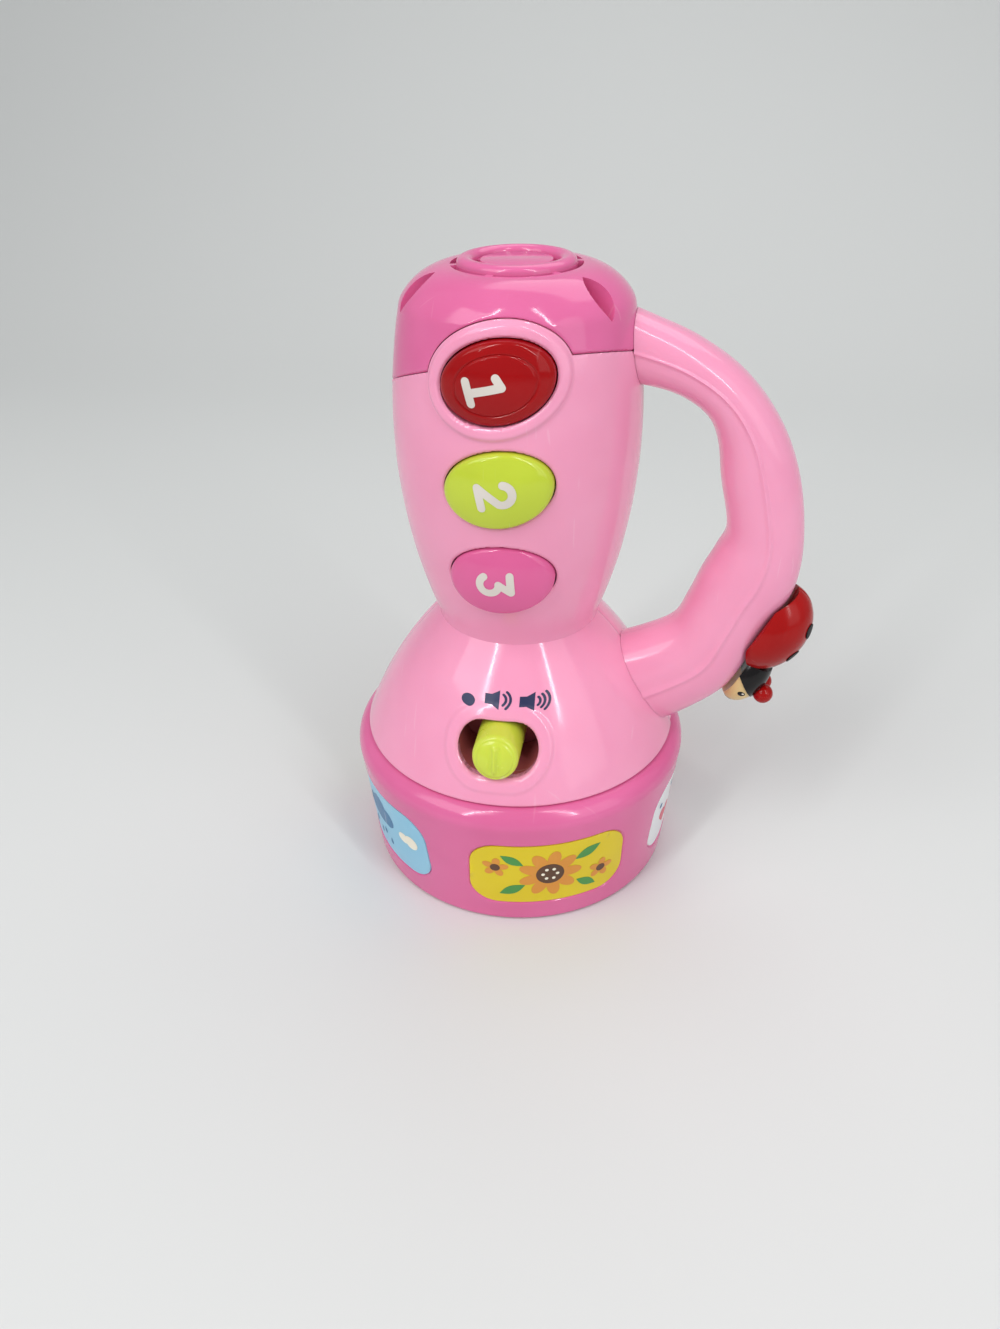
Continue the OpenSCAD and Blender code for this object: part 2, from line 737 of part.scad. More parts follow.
// Volume knob with its sliding plate and switch
knob_d = slot_h - 2 * knob_gap;
plate_y = well_y - 0.3;
plate_t = 1.6;
plate_h = slot_h + 1;
knob_travel = (slot_length - knob_d) / 2 - knob_gap;
module volume_knob() {
    bow = 14;
    color("yellowgreen") {
        intersection() {
            translate([0, -plate_y, slot_z]) rotate([90, 0, 0]) cylinder(d = knob_d, h = knob_reach - plate_y);
            translate([0, -knob_reach + bow, slot_z]) sphere(r = bow);
        }
        translate([-slot_length / 2 - knob_travel - 0.5, -plate_y, slot_z - plate_h / 2])
            cube([slot_length + 2 * knob_travel + 1, plate_t, plate_h]);
    }
}
switch_w = 12;
switch_case_h = 6;
switch_deep = 5;
switch_board_w = 28;
switch_board_h = 16;
module volume_switch() {
    switch_y = plate_y - plate_t - knob_gap;
    color("silver") translate([-switch_w / 2, -switch_y, slot_z - switch_case_h / 2])
        cube([switch_w, switch_deep, switch_case_h]);
    color("seagreen") translate([-switch_board_w / 2, switch_deep - switch_y, slot_z - switch_board_h / 2])
        cube([switch_board_w, board_t, switch_board_h]);
}

// Grip: pairs of outer and inner points from the barrel down to the dome,
// each a distance from the axis and a share of the height from the dome's edge to the cap's top
grip_outer = [
    [22, 0.947], [34.5, 0.914], [47.6, 0.873], [60, 0.812], [70.2, 0.723], [77, 0.614], [80.5, 0.484],
    [80, 0.379], [75.2, 0.298], [70.4, 0.216], [64.5, 0.130], [54.6, 0.065], [40, -0.005]
];
grip_inner = [
    [22, 0.795], [33.7, 0.788], [43.2, 0.770], [50.6, 0.734], [54.1, 0.683], [56, 0.607], [59, 0.505],
    [56.8, 0.455], [53.4, 0.400], [50.2, 0.337], [46.3, 0.280], [37, 0.241], [24, 0.205]
];
grip_steps = 2;
section_points = 10;
function spline(p, i, t) =
    let (n = len(p), a = p[max(0, i - 1)], b = p[i], c = p[i + 1], d = p[min(n - 1, i + 2)])
    0.5 * (2 * b + (c - a) * t + (2 * a - 5 * b + 4 * c - d) * t * t + (3 * b - a - 3 * c + d) * t * t * t);
function along(p) =
    concat([for (i = [0 : len(p) - 2], k = [0 : grip_steps - 1]) spline(p, i, k / grip_steps)], [p[len(p) - 1]]);
function at_share(p) = [p[0], dome_z + p[1] * (cap_top_z - dome_z)];
grip_out = along([for (p = grip_outer) at_share(p)]);
grip_in = along([for (p = grip_inner) at_share(p)]);
grip_n = len(grip_out);
function signed_root(v, e) = sign(v) * pow(abs(v), e);
// Half section of the grip at a station
function grip_section(s) =
    let (o = grip_out[s], i = grip_in[s], m = (o + i) / 2, a = norm(o - i) / 2, w = (o - i) / (2 * a),
         b = grip_top_depth + (grip_low_depth - grip_top_depth) * s / (grip_n - 1))
    [for (k = [0 : section_points]) grip_point(m, w, a, b, 180 * k / section_points)];
function grip_point(m, w, a, b, angle) =
    let (u = a * signed_root(cos(angle), 0.9), v = k_end(angle) ? 0 : b * pow(sin(angle), 0.9))
    [m[0] + w[0] * u, -v, m[1] + w[1] * u];
function k_end(angle) = angle < 0.5 || angle > 179.5;
module grip_half_form() {
    ring = section_points + 1;
    last = (grip_n - 1) * ring;
    points = [for (s = [0 : grip_n - 1]) each grip_section(s)];
    sides = [for (s = [0 : grip_n - 2], k = [0 : ring - 1])
        let (a = s * ring + k, b = s * ring + (k + 1) % ring)
        each [[a, b + ring, b], [a, a + ring, b + ring]]];
    starts = [for (k = [1 : ring - 2]) [0, k, k + 1]];
    ends = [for (k = [1 : ring - 2]) [last, last + k + 1, last + k]];
    polyhedron(points = points, faces = concat(sides, starts, ends), convexity = 6);
}

// Place and lean of the ladybird on the grip's outer edge
bug_share = 0.2694;
bug_x = 74.2;
bug_place = [bug_x, 0, at_share([0, bug_share])[1]];
bug_lean = 117.2;
// Pocket in the grip for the stem's keeper, the spring and the switch
keeper_r = stem_r + 1.2;
keeper_t = 1;
pocket_r = keeper_r + stem_gap;
keeper_z = 5;
spring_h = 2.4;
switch_h = 3;
pocket_deep = keeper_z + keeper_t + spring_h + switch_h + stem_gap;
module on_grip() {
    translate(bug_place) rotate([0, bug_lean, 0]) children();
}
module grip_half() {
    difference() {
        grip_half_form();
        housing_form(dome_z - 10, -part_gap);
        translate([0, 0, dome_z - 20]) cylinder(r = dome_base_r + 0.5, h = 20 + sliver);
        on_grip() translate([0, 0, -pocket_deep]) cylinder(r = stem_r + stem_gap, h = 2 * pocket_deep);
        on_grip() translate([0, 0, -pocket_deep]) cylinder(r = pocket_r, h = pocket_deep - keeper_z);
    }
}
module handle_front() {
    color(light_pink) {
        grip_half();
        intersection() {
            both_tenons(tenon_plate, 0);
            front_half();
        }
    }
}
module handle_rear() {
    color(light_pink) {
        mirror([0, 1, 0]) grip_half();
        intersection() {
            both_tenons(tenon_plate, 0);
            rear_half();
        }
    }
}

// Ladybird push button, hollowed below to sit astride the grip's rounded edge
saddle_r = 10;
module saddle() {
    translate([-far, 0, -saddle_r]) rotate([0, 90, 0]) cylinder(r = saddle_r + bug_lift, h = 2 * far);
}
bug_middle = -1;
bug_nose_x = 10.4;
module bug_form(grow) {
    translate([bug_middle, 0, 0]) scale([bug_length + grow, bug_width + grow, bug_h + grow]) sphere(r = 1);
}
module ladybird_shell() {
    color("firebrick") on_grip() {
        difference() {
            bug_form(0);
            translate([bug_nose_x, -far, -far]) cube([far, 2 * far, 2 * far]);
            translate([-far, -far, -bug_rim - far]) cube([2 * far, 2 * far, far]);
            saddle();
        }
        translate([0, 0, -keeper_z - stem_gap]) cylinder(r = stem_r, h = keeper_z + stem_gap + bug_lift + 1);
        translate([0, 0, -keeper_z - stem_gap - keeper_t]) cylinder(r = keeper_r, h = keeper_t);
    }
}
spot_places = [[12, 34], [12, -34], [-32, 28], [-32, -28]];
spot_r = 2.3;
spot_t = 0.25;
module ladybird_spots() {
    color("black") on_grip()
        for (s = spot_places)
            intersection() {
                difference() {
                    bug_form(spot_t);
                    bug_form(0.02);
                }
                translate([bug_middle, 0, 0]) rotate([s[1], 0, 0]) rotate([0, s[0], 0])
                    cylinder(r = spot_r, h = far);
            }
}
head_x = 16.4;
head_z = 3.9;
head_length = 10.5;
head_h = 6.3;
module head_ball() {
    translate([head_x, 0, head_z]) scale([head_length, head_r, head_h]) sphere(r = 1);
}
// Everything in front of the hood's slanted edge
face_lean = 35;
hood_depth = 1.2;
module face_side() {
    translate([head_x, 0, head_z]) rotate([0, face_lean, 0]) translate([hood_depth, -far, -far])
        cube([far, 2 * far, 2 * far]);
}
module ladybird_head() {
    color("black") on_grip() difference() {
        head_ball();
        saddle();
        translate([bug_nose_x - 2 * far, -far, -far]) cube([2 * far, 2 * far, 2 * far]);
        face_side();
    }
}
module ladybird_face() {
    color("wheat") on_grip() difference() {
        intersection() {
            head_ball();
            face_side();
        }
        saddle();
    }
}
feeler_x = head_x + 2;
feeler_y = 3.4;
feeler_z = head_z + head_h + 0.6;
module ladybird_feelers() {
    color("firebrick") on_grip() difference() {
        for (y = [-feeler_y, feeler_y]) translate([feeler_x, y, feeler_z]) sphere(r = feeler_r);
        head_ball();
    }
}
module ladybird_spring() {
    color("silver") on_grip() translate([0, 0, switch_h - pocket_deep])
        cylinder(r1 = stem_r * 0.8, r2 = stem_r * 0.5, h = spring_h);
}
module ladybird_switch() {
    color("dimgray") on_grip() translate([-stem_r * 0.8, -stem_r * 0.8, -pocket_deep])
        cube([stem_r * 1.6, stem_r * 1.6, switch_h]);
}

// Battery tray, cells and door behind the barrel
door_mid_z = (door_low_z + door_high_z) / 2;
module door_opening(grow) {
    translate([-door_half_w - grow, 14, door_low_z - grow])
        cube([2 * (door_half_w + grow), far, door_high_z - door_low_z + 2 * grow]);
}
cell_gap = 0.4;
cell_spring_h = 4;
contact_w = 8;
tray_half_w = 2 * cell_r + 1;
tray_low_z = cell_z - cell_spring_h;
tray_high_z = cell_z + cell_length + cell_spring_h;
cell_room = housing_at(max(neck_z, cell_z), wall) - cell_gap - cell_r;
cell_y = min(cell_depth, sqrt(pow(cell_room, 2) - pow(cell_r + cell_gap, 2)));
tray_y = cell_y - cell_r - cell_gap;
tray_gap = 0.55;
tray_foot_z = max(neck_z, tray_low_z - tray_wall);
tray_rim_y = sqrt(pow(housing_at(tray_foot_z, wall), 2) - pow(tray_half_w + tray_wall, 2)) - tray_gap;
module battery_tray() {
    color("white") intersection() {
        difference() {
            translate([-tray_half_w - tray_wall, tray_y - tray_wall, tray_low_z - tray_wall])
                cube([2 * (tray_half_w + tray_wall), far, tray_high_z - tray_low_z + 2 * tray_wall]);
            translate([-tray_half_w, tray_y, tray_low_z])
                cube([2 * tray_half_w, far, tray_high_z - tray_low_z]);
        }
        housing_form(neck_z, wall + 0.3);
        translate([-far, -far, 0]) cube([2 * far, far + tray_rim_y, 3 * far]);
    }
}
module battery_cells() {
    color("goldenrod")
        for (x = [-cell_r - 0.25, cell_r + 0.25])
            translate([x, cell_y, cell_z]) {
                cylinder(r = cell_r, h = cell_length - 1);
                cylinder(r = 1.9, h = cell_length);
            }
}
contact_t = 0.6;
module cell_springs() {
    color("silver")
        for (x = [-cell_r - 0.25, cell_r + 0.25])
            translate([x, cell_y, tray_low_z + contact_t])
                cylinder(r1 = cell_r * 0.7, r2 = cell_r * 0.42, h = cell_spring_h - contact_t);
}
module cell_contacts() {
    color("silver") {
        translate([contact_t - tray_half_w, cell_y - contact_w / 2, cell_z + cell_length])
            cube([2 * (tray_half_w - contact_t), contact_w, cell_spring_h]);
        translate([contact_t - tray_half_w, cell_y - contact_w / 2, tray_low_z])
            cube([2 * (tray_half_w - contact_t), contact_w, contact_t]);
    }
}
module battery_door() {
    color(light_pink) difference() {
        intersection() {
            difference() {
                housing_form(dome_z, 0);
                housing_form(dome_z - 1, wall);
            }
            door_opening(0);
        }
        translate([0, 0, door_low_z + 5]) rotate([-90, 0, 0]) cylinder(r = screw_r + 0.2, h = far);
        translate([0, door_screw_y, door_low_z + 5]) rotate([-90, 0, 0]) cylinder(r = screw_head_r + 0.3, h = far);
    }
}
door_screw_y = housing_at(door_low_z + 5, 0) - 1.4;
module door_screw() {
    color("silver") translate([0, door_screw_y, door_low_z + 5]) rotate([-90, 0, 0]) screw(3);
}

front_housing();
rear_housing();
handle_front();
handle_rear();
end_cap();
color_ring();
lens();
reflector();
ring_retainer();
retainer_screws();
lamp_board();
main_lamp();
label_1();
label_2();
label_3();
label_4();
label_5();
button_1();
button_2();
button_3();
keypad();
main_board();
button_lamps();
volume_knob();
volume_switch();
speaker_frame();
speaker_cone();
speaker_magnet();
battery_tray();
battery_cells();
cell_springs();
cell_contacts();
battery_door();
door_screw();
housing_screws();
ladybird_shell();
ladybird_spots();
ladybird_head();
ladybird_face();
ladybird_feelers();
ladybird_spring();
ladybird_switch();
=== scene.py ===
"""Looks of a toy flashlight that stands on its turning colour ring."""

import json
import logging
import math
from contextlib import contextmanager
from dataclasses import dataclass, field
from enum import Enum
from typing import Callable, Iterator, Sequence

import bpy
from mathutils import Matrix, Vector
from mathutils.bvhtree import BVHTree

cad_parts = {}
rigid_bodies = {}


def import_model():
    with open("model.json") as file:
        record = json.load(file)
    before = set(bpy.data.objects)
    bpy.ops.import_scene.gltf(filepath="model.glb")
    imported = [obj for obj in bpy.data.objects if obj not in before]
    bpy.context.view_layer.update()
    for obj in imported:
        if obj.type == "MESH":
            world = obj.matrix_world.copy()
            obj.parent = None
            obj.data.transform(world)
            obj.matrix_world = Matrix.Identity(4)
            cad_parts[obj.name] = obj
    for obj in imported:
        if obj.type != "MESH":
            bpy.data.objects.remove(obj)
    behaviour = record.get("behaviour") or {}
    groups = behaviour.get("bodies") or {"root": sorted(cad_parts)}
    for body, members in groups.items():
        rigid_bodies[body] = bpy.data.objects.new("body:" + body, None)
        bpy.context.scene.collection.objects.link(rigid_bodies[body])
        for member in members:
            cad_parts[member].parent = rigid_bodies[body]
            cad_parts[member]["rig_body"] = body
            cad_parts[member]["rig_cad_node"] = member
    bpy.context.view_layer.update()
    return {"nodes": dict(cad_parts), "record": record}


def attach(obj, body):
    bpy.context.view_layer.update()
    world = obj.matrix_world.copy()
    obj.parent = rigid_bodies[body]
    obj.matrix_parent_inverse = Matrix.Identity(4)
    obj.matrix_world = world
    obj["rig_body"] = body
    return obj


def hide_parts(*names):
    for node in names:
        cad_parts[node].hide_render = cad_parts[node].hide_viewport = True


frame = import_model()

# A millimetre and the distance within which points become one, both in metres
MM = 0.001
MERGE = 1e-6
# A distance past every face of the toy, in millimetres
FAR = 80.0
Piece = bpy.types.Object
Socket = bpy.types.NodeSocket
Rgb = tuple[int, int, int]
Flat = tuple[float, float]
Triple = tuple[float, float, float]
Ray = tuple[Vector, Vector]
Motif = list[tuple[str, list[list[Flat]]]]

logging.basicConfig(level=logging.INFO, format="%(name)s: %(message)s")
LOG = logging.getLogger("flashlight")


class Body(Enum):
    """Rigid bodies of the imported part."""

    HOUSING = "housing"
    RING = "ring"
    BUTTON_1 = "button_1"
    BUTTON_2 = "button_2"
    BUTTON_3 = "button_3"
    KNOB = "volume_knob"
    LADYBIRD = "ladybird"


# Small helpers


def srgb(*levels: int) -> Triple:
    """Turns an 8-bit display colour into a linear one.

    Args:
        levels: red, green and blue, 0 to 255.

    Returns:
        The linear colour.
    """
    shares = [level / 255 for level in levels]
    return tuple(v / 12.92 if v <= 0.04045 else ((v + 0.055) / 1.055) ** 2.4 for v in shares)


def deselect() -> None:
    """Leaves nothing selected, in object mode."""
    if bpy.context.object and bpy.context.object.mode != "OBJECT":
        bpy.ops.object.mode_set(mode="OBJECT")
    bpy.ops.object.select_all(action="DESELECT")


def activate(piece: Piece) -> None:
    """Selects one piece alone and makes it the active one."""
    deselect()
    piece.select_set(True)
    bpy.context.view_layer.objects.active = piece


@contextmanager
def editing(piece: Piece) -> Iterator[None]:
    """Opens a piece in edit mode with all of it selected, and closes it after the block."""
    activate(piece)
    bpy.ops.object.mode_set(mode="EDIT")
    bpy.ops.mesh.select_all(action="SELECT")
    yield
    bpy.ops.object.mode_set(mode="OBJECT")


def apply_modifier(piece: Piece, kind: str, **settings: object) -> None:
    """Adds a modifier and applies it.

    Args:
        piece: the mesh to change.
        kind: Blender's name of the modifier type.
        settings: the modifier's own values.
    """
    activate(piece)
    modifier = piece.modifiers.new(kind.title(), kind)
    for key, value in settings.items():
        setattr(modifier, key, value)
    bpy.ops.object.modifier_apply(modifier=modifier.name)


def bevel(piece: Piece, width: float, degrees: float) -> None:
    """Rounds the edges of a piece that are sharper than an angle."""
    apply_modifier(piece, "BEVEL", width=width, segments=3, limit_method="ANGLE", angle_limit=math.radians(degrees))


def combine(piece: Piece, tool: Piece, operation: str = "DIFFERENCE") -> None:
    """Cuts, joins or clips a piece with a tool mesh, which is used up."""
    apply_modifier(piece, "BOOLEAN", operation=operation, object=tool, solver="EXACT")
    bpy.data.objects.remove(tool, do_unlink=True)


def link(piece: Piece) -> Piece:
    """Puts an object into the scene and hands it back."""
    bpy.context.scene.collection.objects.link(piece)
    return piece


def duplicate(piece: Piece) -> Piece:
    """A copy of a piece with a mesh of its own."""
    twin = piece.copy()
    twin.data = piece.data.copy()
    return link(twin)


def join(pieces: Sequence[Piece]) -> Piece:
    """Joins pieces into the first of them."""
    activate(pieces[0])
    for piece in pieces[1:]:
        piece.select_set(True)
    if len(pieces) > 1:
        bpy.ops.object.join()
    return bpy.context.object


def tidy_normals(piece: Piece, merge: float = MERGE) -> None:
    """Merges doubles and points every face outwards.

    Args:
        piece: the mesh to mend.
        merge: distance within which points become one, in the mesh's own unit.
    """
    with editing(piece):
        bpy.ops.mesh.remove_doubles(threshold=merge)
        bpy.ops.mesh.normals_make_consistent(inside=False)


def smooth(piece: Piece, degrees: float) -> None:
    """Shades a piece smooth up to an edge angle."""
    activate(piece)
    bpy.ops.object.shade_smooth_by_angle(angle=math.radians(degrees))


def refine(piece: Piece, wanted: Callable[[float, float, float], bool], cuts: int) -> None:
    """Divides the faces that need a finer mesh.

    Args:
        piece: the mesh to refine.
        wanted: says whether a face with its middle at that point, in millimetres, is divided.
        cuts: how many cuts its edges get.
    """
    mesh = piece.data
    activate(piece)
    for part in (mesh.vertices, mesh.edges):
        for item in part:
            item.select = False
    for face in mesh.polygons:
        face.select = wanted(*(value / MM for value in face.center))
    bpy.ops.object.mode_set(mode="EDIT")
    bpy.ops.mesh.select_mode(type="FACE")
    bpy.ops.mesh.subdivide(number_cuts=cuts)
    bpy.ops.object.mode_set(mode="OBJECT")


def set_inputs(node: bpy.types.Node, values: dict[str, object]) -> None:
    """Sets a node's unlinked inputs, by name."""
    for key, value in values.items():
        node.inputs[key].default_value = value


# Finishes


class NodeGroup:
    """A shader node group under construction, with named sockets."""

    KINDS = {"Color": "NodeSocketColor", "Shade": "NodeSocketColor", "Mark": "NodeSocketColor"}

    def __init__(self, name: str, inputs: dict[str, object], outputs: Sequence[str]) -> None:
        """Makes the group and its sockets, each a number unless its name is that of a colour.

        Args:
            name: the group's name.
            inputs: name and default of each input.
            outputs: name of each output.
        """
        self.tree = bpy.data.node_groups.new(name, "ShaderNodeTree")
        for label, value in inputs.items():
            self.socket(label, "INPUT").default_value = value
        for label in outputs:
            self.socket(label, "OUTPUT")
        self.source = self.tree.nodes.new("NodeGroupInput").outputs
        self.sink = self.tree.nodes.new("NodeGroupOutput").inputs

    def socket(self, label: str, side: str) -> bpy.types.NodeTreeInterfaceSocket:
        """Adds a socket on the group's input or output side."""
        kind = self.KINDS.get(label, "NodeSocketFloat")
        return self.tree.interface.new_socket(label, in_out=side, socket_type=kind)

    def node(self, kind: str, **settings: object) -> bpy.types.Node:
        """Adds a node and sets its properties."""
        made = self.tree.nodes.new(kind)
        for key, value in settings.items():
            setattr(made, key, value)
        return made

    def link(self, out: Socket, into: Socket) -> None:
        """Joins two sockets."""
        self.tree.links.new(out, into)

    def math(self, operation: str, a: Socket, b: Socket | float) -> Socket:
        """Adds a math node.

        Args:
            operation: the sum to do.
            a: first socket.
            b: second socket or number.

        Returns:
            The result's socket.
        """
        made = self.node("ShaderNodeMath", operation=operation)
        self.link(a, made.inputs[0])
        if isinstance(b, Socket):
            self.link(b, made.inputs[1])
        else:
            made.inputs[1].default_value = b
        return made.outputs[0]

    def mix(self, factor: Socket, a: Socket, b: Socket) -> Socket:
        """Mixes two colours by a factor."""
        made = self.node("ShaderNodeMix", data_type="RGBA")
        for key, value in (("Factor", factor), ("A", a), ("B", b)):
            self.link(value, made.inputs[key])
        return made.outputs["Result"]

    def cloud(self, vector: Socket, scale: float, detail: float, ends: Flat | None = None) -> Socket:
        """Adds a noise texture.

        Args:
            vector: the place that it is read at.
            scale: how fine it is.
            detail: how many octaves it has.
            ends: levels that are stretched to 0 and 1 with soft ends, or None to keep the level.

        Returns:
            The socket of its level.
        """
        made = self.node("ShaderNodeTexNoise")
        self.link(vector, made.inputs["Vector"])
        set_inputs(made, {"Scale": scale, "Detail": detail})
        if ends is None:
            return made.outputs["Fac"]
        ramp = self.node("ShaderNodeMapRange", interpolation_type="SMOOTHSTEP")
        self.link(made.outputs["Fac"], ramp.inputs["Value"])
        set_inputs(ramp, {"From Min": ends[0], "From Max": ends[1]})
        return ramp.outputs["Result"]


WHITE = (1, 1, 1, 1)
# Scale and octaves of each noise, and the levels that are stretched to 0 and 1
DRIFT_NOISE = (38.0, 2.0, (0.32, 0.7))
SMUDGE_NOISE = (95.0, 5.0, (0.42, 0.68))
PEEL_NOISE = (420.0, 2.0)
GRAIN_NOISE = (2600.0, 2.0)
SCRATCH_NOISE = (1.0, 1.0, (0.735, 0.76))
PATCH_NOISE = (55.0, 2.0, (0.5, 0.62))
PEEL_SHARE, GRAIN_SHARE = 0.6, 0.12
# Turn and stretch of each set of hairline scratches
SCRATCHES = (((0.4, 0.9, 0.2), (900, 30, 60)), ((1.3, 0.2, 1.1), (40, 1000, 50)))


def moulded_skin_group() -> bpy.types.NodeTree:
    """Colour drift, handling smudges and orange-peel relief of moulded plastic."""
    group = NodeGroup("MouldedSkin", {"Color": WHITE, "Shade": WHITE, "Drift": 0.5, "Gloss": 0.2, "Smudge": 0.1},
                      ("Color", "Roughness", "Height"))
    place = group.node("ShaderNodeTexCoord").outputs["Object"]
    source, sink = group.source, group.sink
    drift = group.math("MULTIPLY", group.cloud(place, *DRIFT_NOISE), source["Drift"])
    group.link(group.mix(drift, source["Color"], source["Shade"]), sink["Color"])
    smear = group.math("MULTIPLY", group.cloud(place, *SMUDGE_NOISE), source["Smudge"])
    group.link(group.math("ADD", source["Gloss"], smear), sink["Roughness"])
    peel = group.math("MULTIPLY", group.cloud(place, *PEEL_NOISE), PEEL_SHARE)
    grain = group.math("MULTIPLY", group.cloud(place, *GRAIN_NOISE), GRAIN_SHARE)
    group.link(group.math("ADD", peel, grain), sink["Height"])
    return group.tree


def scuff_group() -> bpy.types.NodeTree:
    """Sparse hairline scratches and small rubbed marks."""
    group = NodeGroup("Scuffs", {"Color": WHITE, "Mark": WHITE, "Amount": 0.3}, ("Color", "Mask"))
    place = group.node("ShaderNodeTexCoord").outputs["Object"]
    source, sink = group.source, group.sink
    lines = []
    for turn, stretch in SCRATCHES:
        mapping = group.node("ShaderNodeMapping")
        set_inputs(mapping, {"Rotation": turn, "Scale": stretch})
        group.link(place, mapping.inputs["Vector"])
        lines.append(group.cloud(mapping.outputs["Vector"], *SCRATCH_NOISE))
    patch = group.cloud(place, *PATCH_NOISE)
    marks = group.math("MULTIPLY", group.math("MAXIMUM", *lines), patch)
    mask = group.math("MULTIPLY", marks, source["Amount"])
    group.link(group.mix(mask, source["Color"], source["Mark"]), sink["Color"])
    group.link(mask, sink["Mask"])
    return group.tree


@dataclass(frozen=True)
class Finish:
    """One moulded, printed or plated finish, with its colours in 8-bit levels."""

    name: str
    color: Rgb
    shade: Rgb
    mark: Rgb = (250, 244, 244)
    gloss: float = 0.22
    smudge: float = 0.1
    drift: float = 0.6
    scuffs: float = 0.25
    scuff_dulls: float = 0.25
    relief: float = 0.03
    relief_depth: float = 0.0004
    glow_through: float = 0.0
    glow_radius: Triple = (1.0, 0.6, 0.5)
    glow_scale: float = 0.002
    metal: float = 0.0
    clear: float = 0.0
    clear_ior: float = 1.49
    sheen: float = 0.5

    def build(self, skin: bpy.types.NodeTree, scuff: bpy.types.NodeTree) -> bpy.types.Material:
        """Builds the material.

        Args:
            skin: the moulded-skin group.
            scuff: the scuff group.

        Returns:
            The material.
        """
        made = bpy.data.materials.new(self.name)
        made.use_nodes = True
        tree = made.node_tree
        shader = tree.nodes["Principled BSDF"]
        base, worn = tree.nodes.new("ShaderNodeGroup"), tree.nodes.new("ShaderNodeGroup")
        base.node_tree, worn.node_tree = skin, scuff
        color, shade, mark = ((*srgb(*levels), 1) for levels in (self.color, self.shade, self.mark))
        set_inputs(base, {"Color": color, "Shade": shade, "Drift": self.drift, "Gloss": self.gloss,
                          "Smudge": self.smudge})
        set_inputs(worn, {"Mark": mark, "Amount": self.scuffs})
        rough = tree.nodes.new("ShaderNodeMath")
        rough.operation = "MULTIPLY_ADD"
        rough.inputs[1].default_value = self.scuff_dulls
        bump = tree.nodes.new("ShaderNodeBump")
        set_inputs(bump, {"Strength": self.relief, "Distance": self.relief_depth})
        for out, into in ((base.outputs["Color"], worn.inputs["Color"]),
                          (worn.outputs["Color"], shader.inputs["Base Color"]),
                          (worn.outputs["Mask"], rough.inputs[0]),
                          (base.outputs["Roughness"], rough.inputs[2]),
                          (rough.outputs[0], shader.inputs["Roughness"]),
                          (base.outputs["Height"], bump.inputs["Height"]),
                          (bump.outputs["Normal"], shader.inputs["Normal"])):
            tree.links.new(out, into)
        set_inputs(shader, {"Metallic": self.metal, "Specular IOR Level": self.sheen})
        if self.glow_through:
            set_inputs(shader, {"Subsurface Weight": self.glow_through, "Subsurface Radius": self.glow_radius,
                                "Subsurface Scale": self.glow_scale})
        if self.clear:
            set_inputs(shader, {"Transmission Weight": self.clear, "IOR": self.clear_ior})
        return made


def printed(name: str, color: Rgb, shade: Rgb, gloss: float = 0.3, sheen: float = 0.5) -> Finish:
    """A printed finish, with less relief than moulded plastic."""
    return Finish(name, color, shade, gloss=gloss, relief=0.015, sheen=sheen)


